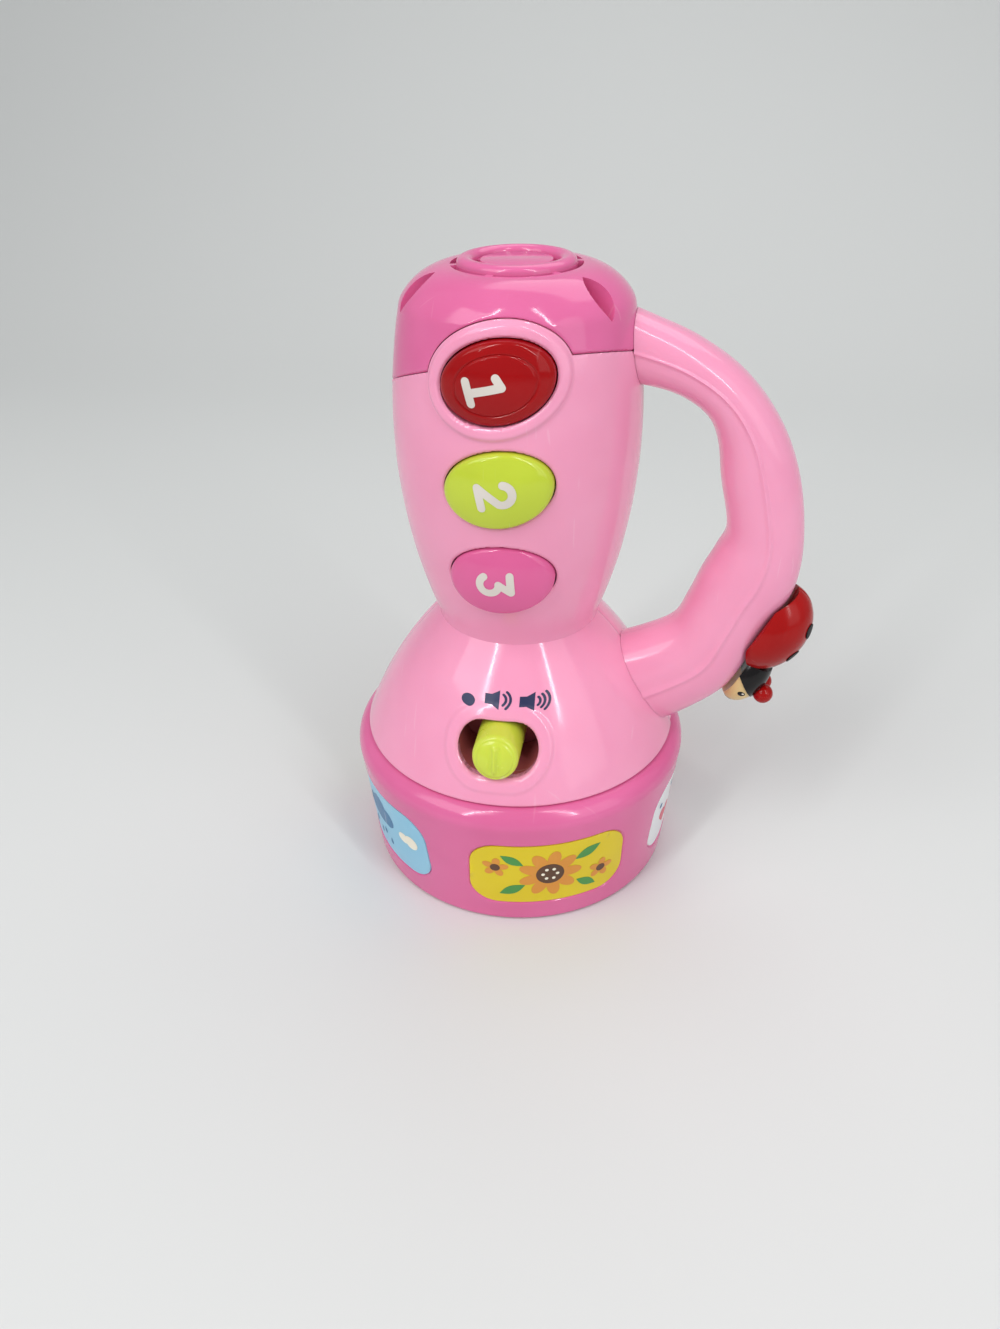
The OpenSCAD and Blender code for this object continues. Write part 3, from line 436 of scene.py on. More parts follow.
class Shelf:
    """Every finish of the flashlight, built once and looked up by name."""

    FINISHES = (
        Finish("light_pink_plastic", (244, 160, 193), (239, 149, 184), gloss=0.1, smudge=0.07, scuffs=0.08,
               glow_through=0.12),
        # painted shade: a deeper pink for the slot's walls and the plate behind them, standing in for the shadow
        # inside the slot
        Finish("painted_shade_pink", (176, 88, 96), (160, 76, 84), gloss=0.3),
        Finish("hot_pink_plastic", (225, 108, 161), (215, 98, 150), gloss=0.1, smudge=0.08, scuffs=0.06,
               glow_through=0.08),
        Finish("button_red", (162, 8, 13), (142, 5, 10), gloss=0.07, smudge=0.06, scuffs=0.04, sheen=0.24,
               glow_through=0.1),
        Finish("button_green", (196, 212, 58), (182, 198, 48), gloss=0.08, smudge=0.06, scuffs=0.1,
               glow_through=0.15),
        Finish("button_violet", (224, 100, 156), (210, 86, 142), gloss=0.08, smudge=0.06, scuffs=0.1,
               glow_through=0.12),
        Finish("knob_lime", (205, 219, 70), (192, 205, 58), gloss=0.2, smudge=0.12, glow_through=0.15),
        Finish("digit_white", (222, 214, 206), (206, 198, 190), gloss=0.4, scuffs=0.5, drift=0.8),
        Finish("icon_navy", (30, 38, 82), (22, 30, 66), gloss=0.35, scuffs=0.35),
        Finish("ladybird_red", (166, 12, 11), (144, 7, 8), gloss=0.12, scuffs=0.7, sheen=0.24),
        Finish("ladybird_black", (20, 16, 18), (12, 10, 12), mark=(190, 186, 184), gloss=0.16, scuffs=0.6,
               sheen=0.3),
        Finish("spot_black", (18, 14, 16), (12, 10, 12), gloss=0.42, scuffs=0.2, sheen=0.15),
        Finish("ladybird_cream", (226, 200, 142), (214, 184, 122), mark=(150, 110, 70), gloss=0.3),
        printed("label_yellow", (228, 205, 38), (220, 194, 30), 0.28, sheen=0.3),
        printed("label_white", (238, 240, 242), (226, 230, 234), 0.28),
        printed("label_orange", (240, 150, 50), (232, 138, 40), 0.28),
        printed("label_green", (140, 196, 84), (126, 184, 74), 0.28),
        printed("label_blue", (150, 206, 232), (136, 196, 226), 0.28),
        printed("print_brown", (92, 58, 32), (80, 48, 26)),
        printed("print_amber", (224, 150, 52), (214, 138, 42)),
        printed("print_teal", (38, 120, 168), (30, 108, 156)),
        printed("print_leaf", (70, 150, 70), (58, 136, 60)),
        printed("print_rose", (222, 84, 110), (210, 70, 98)),
        printed("print_cream", (250, 244, 226), (244, 236, 214)),
        Finish("clear_plastic", (240, 246, 250), (232, 240, 246), gloss=0.06, smudge=0.05, drift=0.2,
               relief=0.008, clear=0.92),
        Finish("mirror_plastic", (224, 226, 230), (210, 212, 218), gloss=0.12, smudge=0.08, metal=1.0),
        Finish("white_plastic", (236, 236, 232), (226, 226, 222), gloss=0.35),
        Finish("steel", (176, 178, 182), (150, 152, 158), gloss=0.28, smudge=0.2, metal=1.0),
        Finish("circuit_board", (30, 104, 60), (22, 86, 48), gloss=0.4),
        Finish("keypad_rubber", (190, 190, 188), (176, 176, 174), gloss=0.6),
        Finish("dark_plastic", (34, 34, 36), (24, 24, 26), gloss=0.45),
        Finish("speaker_paper", (26, 26, 27), (18, 18, 19), gloss=0.8, relief=0.2),
        Finish("magnet", (78, 78, 80), (62, 62, 64), gloss=0.5, metal=0.6),
        Finish("cell_case", (190, 150, 74), (172, 132, 60), gloss=0.3, metal=0.6),
    )

    def __init__(self) -> None:
        """Builds every finish around the two shared groups."""
        skin, scuff = moulded_skin_group(), scuff_group()
        self.made = {finish.name: finish.build(skin, scuff) for finish in self.FINISHES}

    def settle(self, piece: Piece, name: str, body: Body, slot: str, finish: str = "") -> None:
        """Names, dresses and mounts a finished piece.

        Args:
            piece: the finished mesh.
            name: the piece's name.
            body: the body that it rides on.
            slot: the record's material slot.
            finish: its finish, where that isn't the slot's own.
        """
        piece.name = name
        piece.data.materials.clear()
        piece.data.materials.append(self.made[finish or slot])
        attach(piece, body.value)
        LOG.info("%s rides on %s", name, body.value)

    def stand_in(self, piece: Piece, node: str, body: Body, slot: str, finish: str = "") -> None:
        """Settles a piece that takes the place of a solid.

        Args:
            piece: the finished mesh.
            node: the solid's name.
            body: the body that it rides on.
            slot: the record's material slot.
            finish: its finish, where that isn't the slot's own.
        """
        self.settle(piece, node + ".skin", body, slot, finish)
        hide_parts(node)


# Forms


def polygon(points: Sequence[Sequence[float]], filled: bool) -> Piece:
    """A closed loop of points.

    Args:
        points: the points, in the mesh's own unit.
        filled: True for a face within the loop.

    Returns:
        The flat mesh.
    """
    deselect()
    bpy.ops.mesh.primitive_circle_add(vertices=len(points), fill_type="NGON" if filled else "NOTHING")
    piece = bpy.context.object
    for vertex, point in zip(piece.data.vertices, points):
        vertex.co = point
    return piece


def revolve(loop: Sequence[Flat], steps: int, start: float = 0.0, sweep: float | None = None) -> Piece:
    """Spins a closed outline about the upright axis, through a full turn or a part of it.

    Args:
        loop: radius and height of each outline point, in millimetres.
        steps: how many steps make the turn.
        start: direction where it begins, in degrees.
        sweep: angle that a part covers, in degrees, or None for a full turn.

    Returns:
        The closed mesh.
    """
    turn = Matrix.Rotation(math.radians(start), 3, "Z")
    piece = polygon([turn @ Vector((radius * MM, 0, height * MM)) for radius, height in loop], sweep is not None)
    angle = math.tau if sweep is None else -math.radians(sweep)
    with editing(piece):
        bpy.ops.mesh.spin(steps=steps, angle=angle, center=(0, 0, 0), axis=(0, 0, 1))
    tidy_normals(piece)
    return piece


def prism(outline: Sequence[Flat], place: Matrix, depth: float) -> Piece:
    """Extrudes a flat outline.

    Args:
        outline: its points, in millimetres.
        place: matrix that takes the outline's plane and the extrusion's direction to the part, in millimetres.
        depth: how far it is extruded along the local Z axis, in millimetres.

    Returns:
        The closed mesh.
    """
    piece = polygon([(x, y, 0) for x, y in outline], True)
    with editing(piece):
        bpy.ops.mesh.extrude_region_move(TRANSFORM_OT_translate={"value": (0, 0, depth)})
    piece.data.transform(Matrix.Scale(MM, 4) @ place)
    tidy_normals(piece)
    return piece


def facing_front(height: float, distance: float) -> Matrix:
    """Plane that faces the buttons' side: X stays, local Y is up and local Z points to the front."""
    return Matrix.Translation((0, -distance, height)) @ Matrix.Rotation(math.pi / 2, 4, "X")


def rectangle(low: Flat, high: Flat) -> list[Flat]:
    """Outline of a rectangle between two corners."""
    return [low, (high[0], low[1]), high, (low[0], high[1])]


def turned(points: Sequence[Flat], x: float, y: float, degrees: float) -> list[Flat]:
    """Turns points about their origin and moves it to a place."""
    c, s = math.cos(math.radians(degrees)), math.sin(math.radians(degrees))
    return [(x + u * c - v * s, y + u * s + v * c) for u, v in points]


def ellipse(x: float, y: float, half_width: float, half_height: float, turn: float = 0.0,
            sides: int = 36) -> list[Flat]:
    """Outline of a turned ellipse, in millimetres and degrees."""
    turns = [math.tau * k / sides for k in range(sides)]
    return turned([(half_width * math.cos(t), half_height * math.sin(t)) for t in turns], x, y, turn)


def arc(x: float, y: float, radius: float, start: float, end: float, steps: int = 20) -> list[Flat]:
    """Points of an arc between two directions in degrees."""
    turns = [math.radians(start + (end - start) * k / steps) for k in range(steps + 1)]
    return [(x + radius * math.cos(turn), y + radius * math.sin(turn)) for turn in turns]


def ease(value: float) -> float:
    """Smooth step from 0 to 1."""
    value = min(1.0, max(0.0, value))
    return value * value * (3 - 2 * value)


def within(value: float, band: Flat) -> bool:
    """Whether a value lies between two others."""
    return band[0] < value < band[1]


def hump(value: float, width: float) -> float:
    """Height of a soft hump of height 1 at a distance from its middle."""
    return math.exp(-(value / width) ** 2)


def rounding(gap: float, size: float) -> float:
    """Depth of a rounded edge at a distance from it, both in millimetres."""
    if gap >= size:
        return 0.0
    reach = 1 - max(0.0, gap) / size
    return size * (1 - math.sqrt(max(0.0, 1 - reach * reach)))


def set_radii(piece: Piece, rule: Callable[[float, float, float], float | None]) -> None:
    """Moves points of a revolved piece towards the axis or away from it.

    Args:
        piece: the revolved mesh.
        rule: gives a point's new radius, in millimetres, or None to leave it.
    """
    for vertex in piece.data.vertices:
        x, y, z = (value / MM for value in vertex.co)
        radius = rule(x, y, z)
        if radius is not None:
            scale = radius / math.hypot(x, y)
            vertex.co = (x * scale * MM, y * scale * MM, z * MM)


@dataclass(frozen=True)
class Oval:
    """A leaning oval on the barrel's front, in millimetres."""

    height: float
    lean: float
    half_width: float = 14.2
    half_height: float = 10.0
    sides: int = 144

    def local(self, x: float, z: float) -> Flat:
        """Takes a point of the front view to the oval's own axes."""
        turn, rise = math.radians(self.lean), z - self.height
        return x * math.cos(turn) + rise * math.sin(turn), rise * math.cos(turn) - x * math.sin(turn)

    def gap(self, x: float, z: float, grow: float = 0.0) -> float:
        """Distance outside the oval grown by an amount, negative inside it."""
        p, q = self.local(x, z)
        a, b = self.half_width + grow, self.half_height + grow
        level = math.hypot(p / a, q / b)
        slope = math.hypot(p / a**2, q / b**2)
        return (level - 1) * level / slope if slope > 1e-9 else -b

    def plane(self, distance: float) -> Matrix:
        """Plane of the oval's own axes, at a distance in front of the axis."""
        return facing_front(self.height, distance) @ Matrix.Rotation(math.radians(self.lean), 4, "Z")

    def prism(self, grow: float, near: float) -> Piece:
        """The grown oval's prism from a distance in front of the axis outwards."""
        outline = ellipse(0, 0, self.half_width + grow, self.half_height + grow, sides=self.sides)
        return prism(outline, self.plane(near), FAR - near)


# Sizes that the housing, the cap and the buttons share, in millimetres
BUTTON_OVALS = (Oval(163.4, 13.0), Oval(136.7, 10.5), Oval(110.0, 4.0))
BUTTON_GAP = 0.35
OPENING_NEAR = 2.0
COLLAR_WIDTH = 4.0
COLLAR_RISE = 0.9
COLLAR_NEAR = 4.0
SEAM_GAP = 0.2
WALL = 2.2


@dataclass(frozen=True)
class Slot:
    """The volume slider's stadium slot, in millimetres."""

    height: float = 61.0
    length: float = 23.4
    width: float = 14.2
    sides: int = 36

    def gap(self, x: float, z: float) -> float:
        """Distance outside the slot, negative inside it."""
        end = (self.length - self.width) / 2
        return math.hypot(max(0.0, abs(x) - end), z - self.height) - self.width / 2

    def prism(self, grow: float, near: float, reach: float) -> Piece:
        """The slot's prism from one distance in front of the axis to another."""
        end, radius = (self.length - self.width) / 2, self.width / 2 + grow
        outline = arc(end, 0, radius, -90, 90, self.sides) + arc(-end, 0, radius, 90, 270, self.sides)
        return prism(outline, facing_front(self.height, near), reach - near)


@dataclass(frozen=True)
class Outline:
    """Outer form of the housing and the cap, in millimetres."""

    dome_base: Flat = (49.2, 46.2)
    neck: Flat = (23.8, 86.0)
    neck_reach: float = 20.0
    dome_arc: float = 128.0
    barrel_r: float = 34.0
    barrel_z: float = 142.0
    shoulder: float = 16.0
    flat_r: float = 16.3
    top: float = 184.3
    seam_z: float = 158.0
    seam_x: float = 0.15
    seam_front: float = 0.32
    levels: int = 90
    steps: int = 96
    axis_gap: float = 0.02

    def dome_centre(self) -> Flat:
        """Centre of the dome's arc."""
        (px, pz), (qx, qz) = self.dome_base, self.neck
        dx, dz = qx - px, qz - pz
        length = math.hypot(dx, dz)
        reach = math.sqrt(self.dome_arc**2 - length**2 / 4)
        return (px + qx) / 2 - reach * dz / length, (pz + qz) / 2 + reach * dx / length

    def radius(self, z: float, inset: float = 0.0) -> float:
        """Radius at a height, drawn in by an inset.

        Args:
            z: height above the floor.
            inset: distance inside the outer face.

        Returns:
            The radius.
        """

        def chord(size: float, offset: float) -> float:
            """Half chord of an arc at an offset from its centre."""
            return math.sqrt(max(0.0, (size - inset) ** 2 - offset**2))

        cx, cz = self.dome_centre()
        neck_r, neck_z = self.neck
        sag, rise = self.barrel_r - neck_r, self.barrel_z - neck_z
        bow = (rise**2 + sag**2) / (2 * sag)
        dome = cx + chord(self.dome_arc, z - cz) if z <= neck_z + self.neck_reach else 0.0
        barrel = self.barrel_r - bow + chord(bow, z - self.barrel_z) if z >= neck_z - self.neck_reach else 0.0
        shoulder_z = self.top - self.shoulder
        cap = FAR if z < shoulder_z else self.flat_r + chord(self.shoulder, z - shoulder_z)
        return min(max(dome, barrel), cap)

    def above_seam(self, x: float, y: float, z: float) -> float:
        """Distance above the slanted seam."""
        steepness = math.sqrt(1 + self.seam_x**2 + self.seam_front**2)
        return (z - self.seam_z - self.seam_x * x + self.seam_front * y) / steepness

    def seam_block(self, lift: float, upward: bool) -> Piece:
        """Block that fills everything above or below the seam.

        Args:
            lift: how far its face lies above the seam.
            upward: True for the block above the seam.

        Returns:
            The block's mesh.
        """
        up = Vector((-self.seam_x, self.seam_front, 1)).normalized()
        turn = up.to_track_quat("Z", "Y").to_matrix().to_4x4()
        place = Matrix.Translation((0, 0, self.seam_z + lift)) @ turn
        return prism(rectangle((-FAR, -FAR), (FAR, FAR)), place, 2 * FAR if upward else -2 * FAR)

    def solid(self, outset: float, low: float) -> Piece:
        """Solid of the whole outer form, grown by an outset."""
        heights = [low + k * (self.top + outset - low) / self.levels for k in range(self.levels + 1)]
        side = [(max(self.axis_gap, self.radius(min(z, self.top), -outset)), z) for z in heights]
        return revolve([(0.0, low)] + side + [(0.0, heights[-1])], self.steps)


FORM = Outline()
SLOT = Slot()


def shape_outside(piece: Piece, zone: Callable[[float, float, float], bool],
                  relief: Callable[[float, float, float], float]) -> None:
    """Refines the outer face where detail lies and moves it along its radius.

    Args:
        piece: a revolved shell.
        zone: says whether a point, in millimetres, needs a finer mesh.
        relief: how far a point of the outer face moves outwards, in millimetres.
    """
    tolerance, cuts, axis = 0.5, 3, 1.0

    def wanted(x: float, y: float, z: float) -> bool:
        """Whether a face belongs to the outside and lies where detail is."""
        return math.hypot(x, y) > FORM.radius(z) - tolerance and zone(x, y, z)

    def rule(x: float, y: float, z: float) -> float | None:
        """New radius of a point of the outside."""
        inside = math.hypot(x, y) < max(axis, FORM.radius(z) - tolerance)
        return None if inside else FORM.radius(z) + relief(x, y, z)

    refine(piece, wanted, cuts)
    set_radii(piece, rule)


# Housing


@dataclass
class HousingHalf:
    """One moulded half of the dome and barrel, in millimetres."""

    shelf: Shelf
    front: bool
    part_line: float = 0.06
    line_round: float = 0.35
    line_reach: float = 0.4
    base_z: float = 46.2
    base_steps: tuple[float, ...] = (0.0, 0.15, 0.35, 0.6, 1.0, 1.6)
    base_round: float = 1.0
    first_level: float = 3.4
    level_step: float = 1.9
    levels: int = 70
    high_z: float = 181.0
    steps: int = 180
    edge: float = 0.8
    collar_ramp: float = 1.5
    seam_round: float = 0.5
    slot_rim: Triple = (0.55, 4.6, 1.5)
    slot_round: float = 1.3
    slot_wall: float = 1.6
    slot_near: Flat = (28.0, 20.0)
    slot_inset: float = 0.7
    door: tuple[Flat, Flat] = ((-14.75, 101.75), (14.75, 144.25))
    door_depth: float = 14.0
    screws: tuple[Flat, ...] = ((-25, 141), (20, 92), (-20, 92), (-34, 56), (25, 128))
    screw_r: float = 2.5
    screw_depth: float = 4.0
    seam_band: Flat = (-3.0, 1.5)
    oval_band: Flat = (-2.5, 2.6)
    slot_band: Flat = (-1.5, 6.5)

    def relief(self, x: float, y: float, z: float) -> float:
        """How far the outer face stands out at a point."""
        lift = -rounding(z - self.base_z, self.base_round)
        collar = BUTTON_OVALS[0].gap(x, z, COLLAR_WIDTH) if y < 0 else FAR
        above = FORM.above_seam(x, y, z)
        if collar < 0:
            lift += COLLAR_RISE * ease(-collar / self.collar_ramp)
        elif above < 0:
            lift -= rounding(-above, self.seam_round)
        if abs(y) < self.line_reach:
            lift -= rounding(abs(y) - self.part_line, self.line_round)
        if y < 0:
            for oval in BUTTON_OVALS:
                lift -= rounding(oval.gap(x, z, BUTTON_GAP), self.edge)
            gap = SLOT.gap(x, z)
            rise, width, ramp = self.slot_rim
            lift += rise * ease((width - gap) / ramp)
            lift -= rounding(gap, self.slot_round)
        return lift

    def zone(self, x: float, y: float, z: float) -> bool:
        """Whether a point lies where the outer face needs a finer mesh."""
        if within(FORM.above_seam(x, y, z), self.seam_band):
            return True
        if not self.front or y >= 0:
            return False
        near_oval = any(within(oval.gap(x, z), self.oval_band) for oval in BUTTON_OVALS)
        near_collar = within(BUTTON_OVALS[0].gap(x, z, COLLAR_WIDTH), self.seam_band)
        return near_oval or near_collar or within(SLOT.gap(x, z), self.slot_band)

    def build(self) -> Piece:
        """Models the half shell.

        Returns:
            The finished piece.
        """
        heights = [self.base_z + step for step in self.base_steps]
        heights += [self.base_z + self.first_level + self.level_step * k for k in range(self.levels)]
        heights = [z for z in heights if z < self.high_z] + [self.high_z]
        loop = [(FORM.radius(z), z) for z in heights]
        loop += [(FORM.radius(z, WALL), z) for z in reversed(heights[::3])]
        piece = revolve(loop, self.steps)
        shape_outside(piece, self.zone, self.relief)
        cutter = FORM.seam_block(0.0, True)
        if self.front:
            combine(cutter, BUTTON_OVALS[0].prism(COLLAR_WIDTH, COLLAR_NEAR))
        combine(piece, cutter)
        combine(piece, self.other_half())
        if self.front:
            for oval in BUTTON_OVALS:
                combine(piece, oval.prism(BUTTON_GAP, OPENING_NEAR))
            combine(piece, SLOT.prism(0.0, OPENING_NEAR, FAR))
        else:
            self.cut_rear(piece)
        smooth(piece, 40.0)
        name = "front_housing" if self.front else "rear_housing"
        self.shelf.stand_in(piece, name, Body.HOUSING, "light_pink_plastic")
        if self.front:
            self.well()
        return piece

    def other_half(self) -> Piece:
        """Block over the half that this piece isn't."""
        side = 1 if self.front else -1
        place = facing_front(0.0, side * self.part_line)
        return prism(rectangle((-FAR, -FAR), (FAR, 3 * FAR)), place, -side * 2 * FAR)

    def cut_rear(self, piece: Piece) -> None:
        """Opens the battery door's place and the screw wells in the rear half."""
        combine(piece, prism(rectangle(*self.door), facing_front(0.0, -self.door_depth), -FAR))
        for x, z in self.screws:
            ring = ellipse(x, z, self.screw_r, self.screw_r, sides=40)
            combine(piece, prism(ring, facing_front(0.0, -self.screw_depth), -FAR))

    def well(self) -> None:
        """Models the walls inside the slider's slot, in a darker pink that paints the shade inside the slot."""
        wall_near, hollow_near = self.slot_near
        piece = SLOT.prism(self.slot_wall, wall_near, FAR)
        combine(piece, SLOT.prism(0.0, hollow_near, FAR + 5))
        combine(piece, FORM.solid(-self.slot_inset, 47.0), "INTERSECT")
        smooth(piece, 35.0)
        self.shelf.settle(piece, "slot_well", Body.HOUSING, "light_pink_plastic", "painted_shade_pink")


@dataclass
class EndCap:
    """The hot pink cap with its sound openings, in millimetres."""

    shelf: Shelf
    low_z: float = 140.0
    edge: float = 0.6
    ring_out: float = 15.4
    ring_in: float = 10.8
    ring_rise: float = 1.9
    slot: float = 1.5
    slot_depth: Flat = (-5.0, 3.0)
    slot_count: int = 6
    slot_first: Flat = (15.0, 45.0)
    bridge: float = 7.0
    leaf: Flat = (13.0, 6.4)
    leaf_turns: Triple = (-33.0, 87.0, 207.0)
    leaf_lean: float = 42.0
    leaf_sides: int = 24
    leaf_reach: float = 10.0
    cup_wall: float = 0.7
    cup_gap: float = 0.02
    cup_depths: Flat = (5.5, 4.7)
    cup_inset: float = 0.5
    band: Flat = (-2.0, 2.2)
    band_top: float = 0.4

    def relief(self, x: float, y: float, z: float) -> float:
        """How far the outer face stands out at a point."""
        collar = BUTTON_OVALS[0].gap(x, z, COLLAR_WIDTH + SEAM_GAP) if y < 0 else FAR
        seam = FORM.above_seam(x, y, z) - SEAM_GAP
        return -rounding(seam, self.edge) - rounding(collar, self.edge)

    def zone(self, x: float, y: float, z: float) -> bool:
        """Whether a point lies near the seam or the collar."""
        if z > FORM.top - self.band_top:
            return False
        near_collar = y < 0 and within(BUTTON_OVALS[0].gap(x, z, COLLAR_WIDTH), self.band)
        return near_collar or within(FORM.above_seam(x, y, z), self.band)

    def loop(self) -> list[Flat]:
        """Section of the cap, from below the seam over the raised ring to the axis and back."""
        shoulder_z = FORM.top - FORM.shoulder
        heights = [self.low_z + 1.9 * k for k in range(15)]
        heights = [z for z in heights if z < shoulder_z - 0.5]
        heights += [shoulder_z + FORM.shoulder * math.sin(math.radians(90 * k / 20)) for k in range(20)]
        outer = [(FORM.radius(z), z) for z in heights] + [(FORM.flat_r, FORM.top)]
        middle, half = (self.ring_out + self.ring_in) / 2, (self.ring_out - self.ring_in) / 2 - 0.1
        bead = []
        for turn in (math.radians(12 * k) for k in range(16)):
            bead.append((middle + half * math.cos(turn), FORM.top + self.ring_rise * math.sin(turn) ** 0.8))
        hub, disc_z = self.ring_in - self.slot, FORM.top + self.ring_rise / 2
        disc = [(hub, FORM.top), (hub, disc_z - 0.35), (hub - 0.1, disc_z - 0.1), (hub - 0.35, disc_z), (0.0, disc_z)]
        low = [z for z in heights[::2] if z < FORM.top - WALL - 0.4]
        inner = [(0.0, FORM.top - WALL)] + [(FORM.radius(z, WALL), z) for z in reversed(low)]
        return outer + bead + disc + inner

    def build(self) -> None:
        """Models the cap, its sound slots and its leaf openings."""
        piece = revolve(self.loop(), 180)
        shape_outside(piece, self.zone, self.relief)
        combine(piece, FORM.seam_block(SEAM_GAP, False))
        combine(piece, BUTTON_OVALS[0].prism(COLLAR_WIDTH + SEAM_GAP, COLLAR_NEAR))
        low, high = (FORM.top + depth for depth in self.slot_depth)
        pitch = 360 // self.slot_count
        for radius, first in zip((self.ring_out, self.ring_in - self.slot), self.slot_first):
            box = rectangle((radius, low), (radius + self.slot, high))
            for k in range(self.slot_count):
                combine(piece, revolve(box, 20, first + pitch * k + self.bridge / 2, pitch - self.bridge))
        for turn in self.leaf_turns:
            combine(piece, self.leaf_prism(turn, 0.0, self.leaf_reach, self.leaf_reach))
        smooth(piece, 40.0)
        self.shelf.stand_in(piece, "end_cap", Body.HOUSING, "hot_pink_plastic")
        for number, turn in enumerate(self.leaf_turns, 1):
            self.leaf_cup(number, turn)

    def leaf_prism(self, turn: float, grow: float, below: float, above: float) -> Piece:
        """Leaf-shaped prism through the shoulder.

        Args:
            turn: the leaf's direction round the cap, in degrees.
            grow: how much wider it is than the leaf.
            below: how far it reaches inside the shoulder's face.
            above: how far it reaches outside it.

        Returns:
            The prism's mesh.
        """
        length, width = self.leaf[0] + 2 * grow, self.leaf[1] + 2 * grow
        bow = (length**2 + width**2) / (4 * width)
        half = math.degrees(math.asin(length / 2 / bow))
        side = []
        for k in range(self.leaf_sides + 1):
            angle = math.radians(-half + 2 * half * k / self.leaf_sides)
            side.append((bow * math.sin(angle), bow * math.cos(angle) - bow + width / 2))
        outline = side + [(-x, -y) for x, y in side[1:-1]]
        place = (Matrix.Rotation(math.radians(turn), 4, "Z")
                 @ Matrix.Translation((FORM.flat_r, 0, FORM.top - FORM.shoulder))
                 @ Matrix.Rotation(math.radians(self.leaf_lean), 4, "Y")
                 @ Matrix.Translation((0, 0, FORM.shoulder - below)))
        return prism(outline, place, below + above)

    def leaf_cup(self, number: int, turn: float) -> None:
        """Models the moulded pocket behind a leaf opening."""
        outside, inside = self.cup_depths
        piece = self.leaf_prism(turn, self.cup_wall, outside, 0.0)
        combine(piece, self.leaf_prism(turn, self.cup_gap, inside, self.leaf_reach))
        combine(piece, FORM.solid(-self.cup_inset, 120.0), "INTERSECT")
        smooth(piece, 35.0)
        self.shelf.settle(piece, f"leaf_pocket_{number}", Body.HOUSING, "hot_pink_plastic")


LABEL_SLOTS = ("label_yellow", "label_white", "label_orange", "label_green", "label_blue")
LABEL_STEP = 360 // len(LABEL_SLOTS)
LABEL_FIRST = -71.0
LABEL_Z = 21.0


@dataclass
class ColourRing:
    """The turning ring with its label recesses, in millimetres."""

    shelf: Shelf
    base_r: float = 48.9
    max_r: float = 52.7
    height: float = 45.9
    foot: float = 1.8
    top_round: float = 6.0
    lip: Flat = (45.3, 2.5)
    wall: Flat = (4.1, 2.6)
    ledge: Triple = (42.3, 10.0, 8.0)
    mouth_r: float = 45.15
    levels: int = 26
    label: Triple = (47.0, 25.0, 8.0)
    label_gap: float = 0.4
    label_depth: float = 0.6
    label_ramp: float = 0.5
    zone: float = 1.8
    tolerance: float = 0.4

    def face(self, z: float) -> float:
        """Radius of the ring's straight side at a height."""
        return self.base_r + (self.max_r - self.base_r) * (z - self.foot) / (self.height - self.top_round - self.foot)

    def recess_gap(self, x: float, y: float, z: float) -> float:
        """Distance outside the nearest label recess, negative inside it."""
        turn = math.degrees(math.atan2(y, x)) - LABEL_FIRST
        turn = math.radians((turn + LABEL_STEP / 2) % LABEL_STEP - LABEL_STEP / 2)
        width, height, corner = self.label
        across = math.hypot(x, y) * math.sin(turn)
        u = abs(across) - width / 2 - self.label_gap + corner
        v = abs(z - LABEL_Z) - height / 2 - self.label_gap + corner
        return math.hypot(max(u, 0.0), max(v, 0.0)) + min(max(u, v), 0.0) - corner

    def loop(self) -> list[Flat]:
        """Section of the ring, from its foot up the outside and down the inside."""
        foot = arc(self.base_r - self.foot, self.foot, self.foot, -90, 0, 8)
        straight = self.height - self.top_round - self.foot
        levels = [self.foot + straight * k / self.levels for k in range(1, self.levels)]
        side = [(self.face(z), z) for z in levels]
        top = arc(self.max_r - self.top_round, self.height - self.top_round, self.top_round, 0, 90, 15)
        (lip_r, lip_depth), (thick, thin), (ledge_r, ledge_z, ledge_low) = self.lip, self.wall, self.ledge
        lip_z = self.height - lip_depth
        inner = [(lip_r + 0.3, self.height), (lip_r, self.height - 0.3), (lip_r, lip_z), (self.max_r - thick, lip_z),
                 (self.max_r - thin, lip_z - 3), (self.face(ledge_z) - thin, ledge_z), (ledge_r, ledge_z),
                 (ledge_r, ledge_low), (self.mouth_r, ledge_low), (self.mouth_r, 0.4), (self.mouth_r + 0.4, 0.0)]
        return foot + side + top + inner

    def build(self) -> None:
        """Models the ring and presses the label recesses into its side."""

        def wanted(x: float, y: float, z: float) -> bool:
            """Whether a face lies near a recess's edge."""
            outer = math.hypot(x, y) > self.face(z) - self.tolerance
            return outer and -self.zone < self.recess_gap(x, y, z) < self.zone

        def rule(x: float, y: float, z: float) -> float | None:
            """New radius of a point of the straight side."""
            straight = self.foot < z < self.height - self.top_round
            if not straight or math.hypot(x, y) < self.face(z) - self.tolerance:
                return None
            return self.face(z) - self.label_depth * ease(-self.recess_gap(x, y, z) / self.label_ramp + 0.5)

        piece = revolve(self.loop(), 240)
        refine(piece, wanted, 4)
        set_radii(piece, rule)
        smooth(piece, 40.0)
        self.shelf.stand_in(piece, "color_ring", Body.RING, "hot_pink_plastic")


